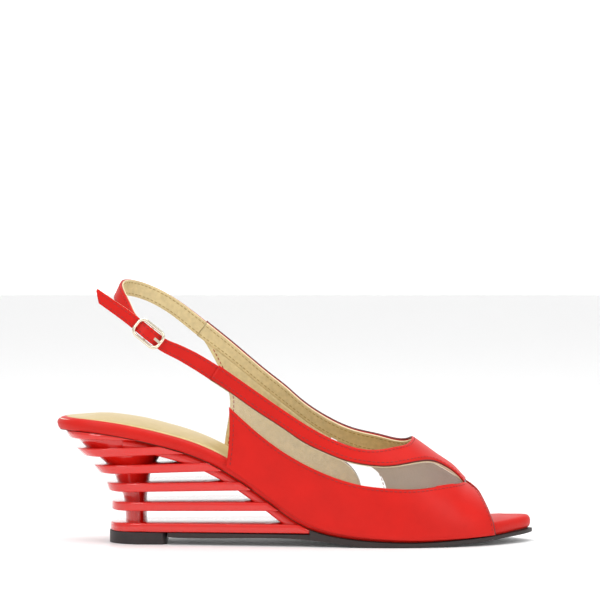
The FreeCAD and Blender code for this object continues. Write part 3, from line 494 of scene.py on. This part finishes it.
CRESCENT_FRONT = [(40, 3), (43.5, 9.5), (46.6, 19), (45.4, 27.6), (41.8, 34.4), (34.4, 39.2), (23.4, 42.8),
                  (20.9, 50.1)]
MED_VAMP_TOP = [(59, 44.6), (62, 42.2), (67.8, 39.9), (74.5, 36.4), (84.3, 30.9)]
TONGUE_REAR, TONGUE_TIP = 66, 85.4
ALONG, ACROSS = 110, 9
SOLE_TURN = 0.012


def split_at(points, x_low, x_high):
    """The part of a smooth side-view line between two x values, with its own end points on the line."""
    line = through(points, 900)
    keep = line[(line[:, 0] >= x_low) & (line[:, 0] <= x_high)]
    return keep[:: max(len(keep) // 60, 1)]


def band_patches(topline, low, side):
    """The band along one side's topline and its half of the tongue, as two grids that share a row."""
    tongue = 22
    high = side_line(topline, side, ALONG)
    high[-1, 1] = math.pi / 2
    whole_low = side_line(low, side, 600)
    cut = np.argmin(np.abs(whole_low[:, 0] - TONGUE_REAR))
    low_a = even(whole_low[:cut + 1] * [1, TURN_MM], ALONG) / [1, TURN_MM]
    low_b = even(whole_low[cut:] * [1, TURN_MM], tongue) / [1, TURN_MM]
    crest = np.stack([np.linspace(high[-1, 0], TONGUE_TIP, tongue), np.full(tongue, math.pi / 2)], axis=1)
    first = ruled(low_a, high, ACROSS)
    second = ruled(low_b, crest, ACROSS)
    share = np.linspace(0, 1, ACROSS)
    second[:, -1, 0] = low_b[-1, 0] + (crest[-1, 0] - low_b[-1, 0]) * np.sin(share * math.pi / 2)
    second[:, 0] = first[:, -1]
    return first, second


# topline band with the tongue, and its lining
BAND_RAISE = 0.35
LINING_ROUND = 0.22
lat_band, lat_tongue = band_patches(LAT_TOPLINE, LAT_BAND_LOW, -1)
med_band, med_tongue = band_patches(MED_TOPLINE, MED_BAND_LOW, 1)
root_ends = [lat_band[:, 0], med_band[:, 0]]
band = [lat_band, lat_tongue, med_band, med_tongue]
leather_band = skin("topline_band_leather", band, -BAND_RAISE, LEATHER, [RED, EDGE, RED], rounding=0.4,
                    flush=root_ends)
lining_band = skin("topline_band_kid", band, LEATHER, LEATHER + LINING, [GOLD, CREAM, GOLD],
                   rounding=LINING_ROUND, flush=root_ends)
for piece, node_name, slot in ((leather_band, "topline_band", "upper_leather"),
                               (lining_band, "topline_band_lining", "gold_lining")):
    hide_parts(node_name)
    hinged(piece)

# lower outer panel
lat_low = np.stack([np.linspace(-34.6, 99.4, ALONG), np.full(ALONG, SOLE_TURN)], axis=1)
lat_vamp = coons(lat_low, side_line(LAT_VAMP_TOP, -1, ALONG), side_line(LAT_VAMP_REAR, -1, 20),
                 side_line(PEEP_EDGE, -1, 20))

# inner quarter and inner vamp, either side of the crescent window
med_quarter_low = np.stack([np.linspace(-36.7, 29.4, 60), np.full(60, math.pi - SOLE_TURN)], axis=1)
quarter_top = side_line(split_at(MED_BAND_LOW, -46.2, 18.6), 1, 60)
med_quarter = coons(med_quarter_low, quarter_top, side_line(MED_QUARTER_REAR, 1, 24),
                    side_line(CRESCENT_REAR, 1, 24))
med_vamp_low = np.stack([np.linspace(39.8, 99.4, 60), np.full(60, math.pi - SOLE_TURN)], axis=1)
vamp_top = np.concatenate([split_at(MED_BAND_LOW, 20.9, 57.5), through(MED_VAMP_TOP, 30)])
med_vamp = coons(med_vamp_low, side_line(vamp_top, 1, 60), side_line(CRESCENT_FRONT, 1, 24),
                 side_line(PEEP_EDGE, 1, 24))

PANELS = (
    ("lower_outer_panel", lat_vamp, "lateral_vamp", GOLD, "gold_lining", False),
    ("inner_quarter_panel", med_quarter, "medial_quarter", GOLD, "gold_lining", True),
    ("inner_vamp_panel", med_vamp, "medial_vamp", TAUPE, "taupe_lining", False),
)
for panel_name, patch, node_name, lining_finish, lining_slot, crosses in PANELS:
    leather = skin(panel_name, [patch], 0, LEATHER, [RED, EDGE, RED], rounding=0.35)
    lining = skin(panel_name + "_lining", [patch], LEATHER, LEATHER + LINING,
                  [lining_finish, CREAM, lining_finish], rounding=LINING_ROUND)
    for piece, replaced, slot in ((leather, node_name, "upper_leather"),
                                  (lining, node_name + "_lining", lining_slot)):
        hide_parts(replaced)
        carried(piece, "shoe", crosses)

# clear windows, tucked under the leather round them
TUCK = 0.8
VINYL_HALF = 0.25
window_low = side_line(LAT_VAMP_TOP[:-1] + [(83, 31.2)], -1, 90, rise=-TUCK)
window_high = side_line([(-33.2, 77.2)] + LAT_BAND_LOW[2:-1] + [(83, 32.6)], -1, 90, rise=TUCK)
crescent = ruled(side_line(CRESCENT_REAR, 1, 30, forward=-TUCK),
                 side_line(CRESCENT_FRONT, 1, 30, forward=TUCK), 9)
front_low = side_line(MED_VAMP_TOP[:-1] + [(80, 33.4)], 1, 30, rise=-TUCK)
front_high = side_line(split_at(MED_BAND_LOW, 59, 81), 1, 30, rise=TUCK)
for piece_name, patch, node_name in (("outer_window", ruled(window_low, window_high, 12), "lateral_window"),
                                     ("crescent_window", crescent, "medial_window"),
                                     ("inner_front_window", ruled(front_low, front_high, 6), "front_window")):
    window = skin(piece_name, [patch], LEATHER - VINYL_HALF, LEATHER + VINYL_HALF, [VINYL, VINYL, VINYL],
                  rounding=0.1)
    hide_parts(node_name)
    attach(window, "shoe")

# ---------------------------------------------------------------- stitching on the upper


def grid_edge(patch, edge):
    """One of a grid's four edge lines."""
    return {"low": patch[0], "high": patch[-1], "rear": patch[:, 0], "front": patch[:, -1]}[edge]


def seam(patch, edge, inset, depth, inside=False):
    """A stitch row beside one edge of a patch, on its outside or on its inside."""
    line = grid_edge(patch, edge)
    points, out = seam_points(line, inset, depth, 1)
    middle = arch(patch[:, :, 0], patch[:, :, 1], depth).reshape(-1, 3)
    k = len(line) // 2
    near = middle[np.argsort(np.linalg.norm(middle - arch(*line[k], depth), axis=1))[:60]].mean(axis=0)
    if np.linalg.norm(points[k] - near) > np.linalg.norm(2 * arch(*line[k], depth) - points[k] - near):
        points, out = seam_points(line, inset, depth, -1)
    return points, -out if inside else out


def trimmed(row, start, end):
    """A stitch row without its first and last lengths."""
    points, out = row
    along = lengths(points)
    keep = (along >= start) & (along <= along[-1] - end)
    return points[keep], out[keep]


INSET, REAR_INSET = 1.5, 1.9
band_rows = [seam(patch, edge, INSET, -BAND_RAISE) for patch in (lat_band, med_band)
             for edge in ("low", "high")]
band_rows += [trimmed(seam(patch, "low", INSET, -BAND_RAISE), 0, 1) for patch in (lat_tongue, med_tongue)]
band_thread = stitches("topline_band_stitching", band_rows, THREAD)
lining_rows = [seam(patch, edge, INSET, LEATHER + LINING, True) for patch in (lat_band, med_band)
               for edge in ("low", "high")]
lining_thread = stitches("topline_band_kid_stitching", lining_rows, GOLD_THREAD)
panel_rows = [trimmed(seam(lat_vamp, "rear", REAR_INSET, 0), 1, 2.5),
              trimmed(seam(lat_vamp, "high", INSET, 0), 2, 2),
              trimmed(seam(lat_vamp, "front", INSET, 0), 1, 2)]
outer_thread = stitches("lower_outer_panel_stitching", panel_rows, THREAD)
quarter_rows = [trimmed(seam(med_quarter, "rear", REAR_INSET, 0), 1, 3),
                trimmed(seam(med_quarter, "front", INSET, 0), 2, 2),
                trimmed(seam(med_quarter, "rear", REAR_INSET, LEATHER + LINING, True), 1, 3)]
quarter_thread = stitches("inner_quarter_stitching", quarter_rows, THREAD)
vamp_rows = [trimmed(seam(med_vamp, "rear", INSET, 0), 2, 2),
             trimmed(seam(med_vamp, "front", INSET, 0), 1, 2)]
vamp_thread = stitches("inner_vamp_stitching", vamp_rows, THREAD)
for piece, slot, crosses in ((band_thread, "upper_leather", True), (lining_thread, "gold_lining", True),
                             (outer_thread, "upper_leather", False), (quarter_thread, "upper_leather", True),
                             (vamp_thread, "upper_leather", False)):
    carried(piece, "shoe", crosses)

# ---------------------------------------------------------------- straps

along = np.array([0.781, -0.035, -0.624])
along /= np.linalg.norm(along)
outward = np.array([0, -1, 0]) + along * along[1]
outward /= np.linalg.norm(outward)
BUCKLE_AT = np.array([-72.7, -26.6, 105.8])


def at_buckle(reach, out):
    """A point that far along the strap from the buckle's bar and that far outwards."""
    return BUCKLE_AT + along * reach + outward * out


def band_end(patch, depth):
    """Centre, outward direction and width of a band's rear end, and the direction in which it runs on."""
    edge = patch[:, 0]
    points = arch(edge[:, 0], edge[:, 1], depth)
    ahead = arch(patch[:, 3, 0], patch[:, 3, 1], depth)
    middle = (points[0] + points[-1]) / 2
    out = arch_out(edge[len(edge) // 2, 0], edge[len(edge) // 2, 1], depth)
    return middle, out, np.linalg.norm(points[0] - points[-1]), middle - (ahead[0] + ahead[-1]) / 2


def strap_frames(stations, count, skip=0):
    """Even stations along a strap: centre, outward direction, sideways direction and width."""
    centres = np.array([s[0] for s in stations], float)
    knots = lengths(centres)
    at = np.linspace(knots[skip], knots[-1], count)
    centre = cubic(knots, centres, at)
    facing = np.array([np.asarray(s[1], float) / np.linalg.norm(s[1]) for s in stations])
    out = np.stack([np.interp(at, knots, facing[:, k]) for k in range(3)], axis=1)
    width = np.interp(at, knots, [s[2] for s in stations])
    tangent = np.gradient(centre, axis=0)
    tangent /= np.linalg.norm(tangent, axis=1, keepdims=True)
    out -= tangent * np.sum(out * tangent, axis=1, keepdims=True)
    out /= np.linalg.norm(out, axis=1, keepdims=True)
    return centre, out, np.cross(out, tangent), width


def strap(name, frames, low, high, materials, crown=0.12, rounding=0.35, shape=None):
    """A flat strap with rounded long edges and a crowned face. Materials: face and back, then rim."""
    centre, out, across, width = frames
    flat = [-0.97, -0.8, -0.5, -0.2, 0.2, 0.5, 0.8, 0.97]
    section = [(a, high + crown * (1 - a * a), 0) for a in flat]
    section += [(1, high - rounding, 1), (1, low + rounding, 1)]
    section += [(a, low, 0) for a in flat[::-1]]
    section += [(-1, low + rounding, 1), (-1, high - rounding, 1)]
    count, sides = len(centre), len(section)
    points = np.concatenate([
        centre[i] + np.array([across[i] * width[i] / 2 * a + out[i] * h for a, h, _ in section])
        for i in range(count)])
    if shape:
        points = shape(points)
    faces, kinds = [], []
    for i in range(count - 1):
        for k in range(sides):
            k2 = (k + 1) % sides
            faces.append((i * sides + k, i * sides + k2, (i + 1) * sides + k2, (i + 1) * sides + k))
            kinds.append(1 if section[k][2] and section[k2][2] else 0)
    faces += [tuple(range(sides))[::-1], tuple((count - 1) * sides + k for k in range(sides))]
    kinds += [1, 1]
    return build(name, points, faces, materials, kinds)


TAIL_AT = np.array([-98.0, 0, 123.3])
TAIL_FACING = np.array([-0.98, 0, -0.19])


def tail_cut(points):
    """The free end is cut across, a little aslant."""
    over = np.maximum((points - TAIL_AT) @ TAIL_FACING, 0)
    return points - over[:, None] * TAIL_FACING


STRAP_LEATHER, STRAP_LINING = 1.0, 0.7
near_end, near_out, near_width, near_run = band_end(lat_band, LEATHER)
far_end, far_out, far_width, far_run = band_end(med_band, LEATHER)
OVER_BAR = [(7.8, 0.45), (6.2, 0.7), (4.4, 1.25), (2.2, 2.1), (0, 2.4)]
punched = [(near_end - near_run, near_out, near_width), (near_end, near_out, near_width),
           ((-51.2, -26.1, 92.9), (0.05, -1, 0.1), 7.7), ((-60, -26.9, 97.5), (0, -1, 0), 7.0)]
punched += [(at_buckle(reach, out), outward, 6.3) for reach, out in OVER_BAR]
punched += [(at_buckle(-reach, out), outward, 6.2) for reach, out in OVER_BAR[-2::-1] + [(10.6, 0.45)]]
punched += [((-87.5, -26.6, 117.2), (0, -1, 0), 5.9), ((-99.6, -25.6, 125.6), (0, -1, 0), 5.6)]
heel_loop = [(far_end - far_run, far_out, far_width), (far_end, far_out, far_width),
             ((-60.7, 21.4, 116), (-0.2, 1, 0.25), 8), ((-74, 18.6, 123.6), (-0.45, 0.85, 0.2), 8),
             ((-83.6, 11.2, 126.7), (-0.85, 0.5, 0.3), 8.2), ((-87.9, 0.5, 126.4), (-0.91, 0, 0.42), 8.2),
             ((-87.4, -10, 123.4), (-0.85, -0.5, 0.35), 7.6),
             ((-84.2, -18.4, 117.7), (-0.5, -0.8, 0.25), 6.8),
             (at_buckle(-9.6, -1.6), outward, 6), (at_buckle(-7, -1.5), outward, 6),
             (at_buckle(-4, -1.6), outward, 6), (at_buckle(-1.9, -1.5), outward, 6)]

punched_frames = strap_frames(punched, 120, skip=1)
sling_frames = strap_frames(heel_loop, 150, skip=1)
punched_piece = strap("punched_buckle_strap", punched_frames, 0, STRAP_LEATHER, [RED, EDGE],
                      shape=tail_cut)
punched_back = strap("punched_buckle_strap_kid", punched_frames, -STRAP_LINING, 0, [GOLD, CREAM],
                     crown=0, rounding=0.2, shape=tail_cut)
sling_piece = strap("heel_sling_strap", sling_frames, 0, STRAP_LEATHER, [RED, EDGE])
sling_back = strap("heel_sling_strap_kid", sling_frames, -STRAP_LINING, 0, [GOLD, CREAM], crown=0,
                   rounding=0.2)


def strap_rows(frames, height, start, end, inset=1.3, inside=False):
    """Two stitch rows along a strap's long edges."""
    centre, out, across, width = frames
    rows = []
    for sign in (-1, 1):
        points = centre + across * (sign * (width / 2 - inset))[:, None] + out * height
        rows.append(trimmed((points, -out if inside else out), start, end))
    return rows


THREAD_AT = STRAP_LEATHER + 0.05
punched_thread = stitches("buckle_strap_stitching", strap_rows(punched_frames, THREAD_AT, 0, 3), THREAD)
sling_thread = stitches("sling_strap_stitching", strap_rows(sling_frames, THREAD_AT, 0, 9), THREAD)
sling_kid_thread = stitches("sling_kid_stitching",
                            strap_rows(sling_frames, -STRAP_LINING, 0, 9, inside=True), GOLD_THREAD)

for piece, slot, replaced in (
        (punched_piece, "wrap_leather", "punched_strap"),
        (punched_back, "gold_lining", "punched_strap_lining"),
        (sling_piece, "wrap_leather", "sling_strap"), (sling_back, "gold_lining", "sling_strap_lining"),
        (punched_thread, "wrap_leather", None), (sling_thread, "wrap_leather", None),
        (sling_kid_thread, "gold_lining", None)):
    if replaced:
        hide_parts(replaced)
    hinged(piece)

# ---------------------------------------------------------------- footbed and sock

TAIL = np.argmin(OUTLINE[:, 0])
turned = np.roll(OUTLINE, -TAIL, axis=0)
TIP = np.argmax(turned[:, 0])
inner_half, outer_half = turned[:TIP + 1], np.concatenate([turned[TIP:], turned[:1]])[::-1]
HEEL_CENTRE, TOE_CENTRE = REAR + 21, FRONT - 15
SPINE = np.array([(HEEL_CENTRE, 0), (-40, -1.2), (-10, -3), (40, -0.5), (70, 0), (TOE_CENTRE, 4.6)])
TO_SPINE = 1000
NOSE, NOSE_LOW = -108, 3
FOOTBED = 6.6
SPINE_MERGE = 0.03


def stations(x_low, x_high, count):
    """x values that close up towards both ends."""
    return x_low + (x_high - x_low) * (1 - np.cos(np.linspace(0, math.pi, count))) / 2


def loaf(name, profile, material, crown, x_high=FRONT):
    """A closed body that fills the footbed's outline up to x_high. profile runs from the underside round the
    edge to the middle of the top, as (inset from the outline, height above the footbed's underside) pairs.
    crown scales, along the length, how much the top rises above the footbed's own thickness."""
    xs = stations(outer_half[0, 0], outer_half[-1, 0], 130)
    xs = xs[xs <= x_high]
    sides = []
    for half in (inner_half, outer_half):
        edge = np.stack([xs, np.interp(xs, half[:, 0], half[:, 1])], axis=1)
        middle = np.clip(xs, HEEL_CENTRE, TOE_CENTRE)
        middle = np.stack([middle, np.interp(middle, SPINE[:, 0], SPINE[:, 1])], axis=1)
        sides.append((edge, middle))
    slope = np.gradient(feather_z(xs), xs)
    rings = []
    for inset, height in [(TO_SPINE, profile[0][1])] + profile + [(TO_SPINE, profile[-1][1])]:
        ring = []
        for edge, middle in sides:
            inward = middle - edge
            reach = np.maximum(np.linalg.norm(inward, axis=1), 1e-9)
            fading = np.clip((20 - inset) / 17, 0, 1) * (height > NOSE_LOW)
            heel_round = 1 + 0.9 * np.clip((NOSE - edge[:, 0]) / 10, 0, 1) * fading
            place = edge + inward * (np.minimum(inset * heel_round, reach) / reach)[:, None]
            rise = height + crown(place[:, 0]) * max(height - FOOTBED, 0)
            tall = np.interp(place[:, 0], xs, np.sqrt(1 + slope**2))
            side = np.column_stack([place, feather_z(place[:, 0]) + rise * tall])
            ring.append(side if not ring else side[::-1])
        rings.append(np.concatenate(ring))
    around = len(rings[0])
    faces = []
    for k in range(len(rings) - 1):
        for i in range(around):
            j = (i + 1) % around
            if x_high < FRONT and i == len(xs) - 1:
                continue
            faces.append((k * around + i, k * around + j, (k + 1) * around + j, (k + 1) * around + i))
    if x_high < FRONT:
        last = len(xs) - 1
        faces.append([k * around + last for k in range(len(rings))]
                     + [k * around + last + 1 for k in range(len(rings) - 1, -1, -1)])
    body = build(name, np.concatenate(rings), faces, [material])
    cleaned = bmesh.new()
    cleaned.from_mesh(body.data)
    bmesh.ops.remove_doubles(cleaned, verts=cleaned.verts, dist=SPINE_MERGE * MM)
    bmesh.ops.dissolve_degenerate(cleaned, edges=cleaned.edges, dist=SPINE_MERGE * MM)
    cleaned.to_mesh(body.data)
    cleaned.free()
    return body


SOCK_FRONT = 66
wrap_profile = [(9, 0.05), (1.6, 0.1), (0.6, 0.45), (0.05, 1.3), (-0.2, 2.4), (-0.25, 3.4), (-0.1, 4.4),
                (0.3, 5.3), (0.95, 6.1), (1.8, 6.55), (3, 6.8), (6, 7.3), (10, 7.8), (14, 8.1), (20, 8.3)]
wrap = loaf("wrapped_footbed", wrap_profile, RED_WRAP, crown=lambda x: np.interp(x, [50, 64], [-0.9, 0]))
sock_profile = [(8, 5.2), (3, 5.4), (2.2, 5.9), (2.0, 6.5), (2.3, 6.95), (3.2, 7.3), (5, 7.75), (8, 8.4),
                (12, 9.1), (17, 9.7), (22, 10)]
SOCK_CROWN = [(-119, -0.75), (-108, -0.55), (-92, -0.1), (-75, 0.1), (30, 0), (SOCK_FRONT, -0.4)]
sock = loaf("padded_sock", sock_profile, SOCK, x_high=SOCK_FRONT,
            crown=lambda x: np.interp(x, *zip(*SOCK_CROWN)))
for piece, replaced, slot, fill in ((wrap, "footbed_wrap", "wrap_leather", 0.8),
                                    (sock, "sock_lining", "gold_sock", 0.7)):
    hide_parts(replaced)
    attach(piece, "shoe")

# ---------------------------------------------------------------- slatted heel

# height, rear x and half width of the wedge behind the post
ENVELOPE = np.array([(5, -92.8, 18.6), (20, -91.9, 19.2), (30, -94.6, 20.3), (39.2, -101.2, 21.8),
                     (47.7, -109.4, 23.2), (52.6, -113.2, 23.8), (58, -115.8, 24.4)])
WEDGE_FRONT = (16.0, -33.0, 25.5)
SHOULDER = 1.05
WEDGE_TIP = 8.5
HEEL_BASE = 6.0
SLATS = [(10.5, 0.3), (20.8, 0.8), (30.2, 1.5), (39.3, 2.3), (48.2, 2.8)]
SLAT = 4.4
SLAT_ORIGIN = -95
SPAR, RECESS = 5.2, 2.2
FIT = 0.05
CUP_FLOOR, CUP_FRONT = 52.4, -78.0
# height, rear x, front x and half width of the post
POST = np.array([(6.05, -85, -74.2, 10), (14, -85.2, -74.2, 10), (22, -86, -74.2, 10.4),
                 (30, -89, -73.2, 12), (35, -91.3, -72.2, 14), (41, -96.5, -69, 17), (46, -103, -66, 19.5),
                 (53.2, -110, -62, 21.5)])


def wedge_plan(z, inset, front):
    """The wedge's outline at a height, from the outer side's front end round the back to the inner side's."""
    rear = np.interp(z, ENVELOPE[:, 0], ENVELOPE[:, 1]) + inset
    half = np.interp(z, ENVELOPE[:, 0], ENVELOPE[:, 2]) - inset
    lean, flank = half * (1 - math.sqrt(0.5)), half * math.sqrt(0.5) * 1.06
    shoulder = rear + half * SHOULDER
    back = through([(shoulder, -half), (rear + lean, -flank), (rear, 0), (rear + lean, flank),
                    (shoulder, half)], 41)
    sides = []
    for target in (WEDGE_FRONT[1] + inset, WEDGE_FRONT[2] - inset):
        start = back[0] if target < 0 else back[-1]
        share = (front - start[0]) / (WEDGE_FRONT[0] - start[0])
        end = np.array([front, start[1] + (target - start[1]) * share])
        sides.append(start + (end - start) * np.linspace(1, 0, 24)[:, None])
    return np.concatenate([sides[0][:-1], back, sides[1][::-1][1:]])


def stack(levels):
    """Points and faces of a closed body from rings of equal count, each end closed by strips across it."""
    rings = np.array(levels)
    count, around = rings.shape[:2]
    faces = []
    for k in range(count - 1):
        for i in range(around):
            j = (i + 1) % around
            faces.append((k * around + i, k * around + j, (k + 1) * around + j, (k + 1) * around + i))
    for k in (0, count - 1):
        for i in range(around // 2 - 1 + around % 2):
            first, last = k * around + i, k * around + around - 1 - i
            strip = list(dict.fromkeys([first, first + 1, last - 1, last]))
            if len(strip) >= 3:
                faces.append(strip)
    return rings.reshape(-1, 3), faces


EASE = [(0.0, 0.75), (0.1, 0.38), (0.32, 0.12), (0.75, 0.0)]


def slat(top, rise):
    """One slat of the wedge, with eased edges, running forward to the underside of the footbed."""
    lean = math.tan(math.radians(rise))
    xs = np.linspace(-90, WEDGE_TIP, 400)
    levels = []
    for drop, inset in EASE + [(SLAT - drop, inset) for drop, inset in EASE[::-1]]:
        z = max(top - drop, HEEL_BASE + 0.02)
        under = xs[z + (xs - SLAT_ORIGIN) * lean < feather_z(xs) - 0.2]
        plan = wedge_plan(z, inset, under[-1])
        levels.append(np.column_stack([plan, z + (plan[:, 0] - SLAT_ORIGIN) * lean]))
    return stack(levels)


def spar():
    """The recessed strut that follows the footbed down to the wedge's tip."""
    xs = np.linspace(-86, WEDGE_TIP, 60)
    levels = []
    for x in xs:
        high = feather_z(x) - FIT
        low = max(high - SPAR, HEEL_BASE + 0.02)
        middle = (high + low) / 2
        rear = np.interp(middle, ENVELOPE[:, 0], ENVELOPE[:, 1]) + RECESS
        half = np.interp(middle, ENVELOPE[:, 0], ENVELOPE[:, 2]) - RECESS
        shoulder = rear + half * SHOULDER
        share = max((x - shoulder) / (WEDGE_FRONT[0] - shoulder), 0)
        outer = -half + (WEDGE_FRONT[1] + RECESS + half) * share
        inner = half + (WEDGE_FRONT[2] - RECESS - half) * share
        r = min(0.7, (high - low) * 0.3)
        levels.append([(x, outer, high), (x, outer, low + r), (x, outer + r, low), (x, inner - r, low),
                       (x, inner, low + r), (x, inner, high)])
    return stack(levels)


def cup():
    """The seat under the heel, from its floor up to the footbed."""
    levels = []
    for share, inset in ((1, 0.0), (0.5, 0.0), (0.2, 0.0), (0.08, 0.25), (0.0, 0.9)):
        plan = wedge_plan(CUP_FLOOR + share * 4, inset, CUP_FRONT)
        tall = np.maximum(feather_z(plan[:, 0]) - FIT - CUP_FLOOR, 0.3)
        levels.append(np.column_stack([plan, CUP_FLOOR + tall * share]))
    return stack(levels)


def post():
    """The trumpet-shaped post behind the slots."""
    angles = np.linspace(0, 2 * math.pi, 48, endpoint=False)
    levels = []
    for z, rear, front, half in cubic(POST[:, 0], POST, np.linspace(POST[0, 0], POST[-1, 0], 40))[::-1]:
        x = (rear + front) / 2 + (front - rear) / 2 * np.cos(angles)
        levels.append(np.column_stack([x, half * np.sin(angles), np.minimum(z, feather_z(x) - 0.1)]))
    return stack(levels)


def together(name, bodies, material):
    """One Blender object out of several closed bodies."""
    points, faces, start = [], [], 0
    for body_points, body_faces in bodies:
        points.append(body_points)
        faces += [[start + v for v in face] for face in body_faces]
        start += len(body_points)
    return build(name, np.concatenate(points), faces, [material])


wedge = together("slatted_wedge_heel", [slat(*row) for row in SLATS] + [spar(), cup(), post()], PLASTIC)
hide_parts("wedge_heel")
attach(wedge, "shoe")

# ---------------------------------------------------------------- studio

WALL, BEND = 2400, 1000
NEAR_END, WALL_TOP, HALF_WIDE = -3000, 3200, 3500
quarter_turn = np.linspace(0, math.pi / 2, 24)
bend = np.stack([WALL + BEND * np.sin(quarter_turn), BEND - BEND * np.cos(quarter_turn)], axis=1)
sweep = np.concatenate([[(NEAR_END, 0)], bend, [(WALL + BEND, WALL_TOP)]])
studio_points = [(x, y, z) for y, z in sweep for x in (-HALF_WIDE, HALF_WIDE)]
studio = build("studio_floor", studio_points, grid_faces(len(sweep), 2), [FLOOR, WALL_WHITE],
               [0] + [1] * (len(sweep) - 2))

world = bpy.data.worlds.new("studio_world")
bpy.context.scene.world = world
world.use_nodes = True
world.node_tree.nodes["Background"].inputs["Color"].default_value = (1, 1, 1, 1)
world.node_tree.nodes["Background"].inputs["Strength"].default_value = 0.62


def softbox(name, at, aim, size, power):
    """A rectangular area light, in metres and watts, that faces a point."""
    light = bpy.data.lights.new(name, "AREA")
    light.shape = "RECTANGLE"
    light.size, light.size_y = size
    light.energy = power
    lamp = bpy.data.objects.new(name, light)
    lamp.location = at
    lamp.rotation_euler = (Vector(aim) - Vector(at)).to_track_quat("-Z", "Y").to_euler()
    bpy.context.scene.collection.objects.link(lamp)


softbox("top_box", (0.0, -0.1, 1.5), (0, 0, 0.05), (1.5, 0.9), 16)
softbox("front_left_box", (-1.1, -1.4, 1.1), (0, 0, 0.06), (0.7, 0.9), 9)
softbox("front_right_box", (1.2, -1.1, 0.8), (0, 0, 0.06), (0.5, 0.9), 7)

DISTANCE = 2.9
ELEVATION = math.radians(3.0)
AIM = Vector((0.00225, 0, 0.121))
VIEW_WIDTH = 0.300
SENSOR = 36
camera_data = bpy.data.cameras.new("camera")
camera_data.sensor_width = SENSOR
camera_data.lens = SENSOR * DISTANCE / VIEW_WIDTH
camera_data.clip_end = 50
camera = bpy.data.objects.new("camera", camera_data)
camera.location = AIM + Vector((0, -DISTANCE * math.cos(ELEVATION), DISTANCE * math.sin(ELEVATION)))
camera.rotation_euler = (AIM - camera.location).to_track_quat("-Z", "Y").to_euler()
bpy.context.scene.collection.objects.link(camera)
bpy.context.scene.camera = camera

bpy.context.scene.view_settings.view_transform = "Standard"
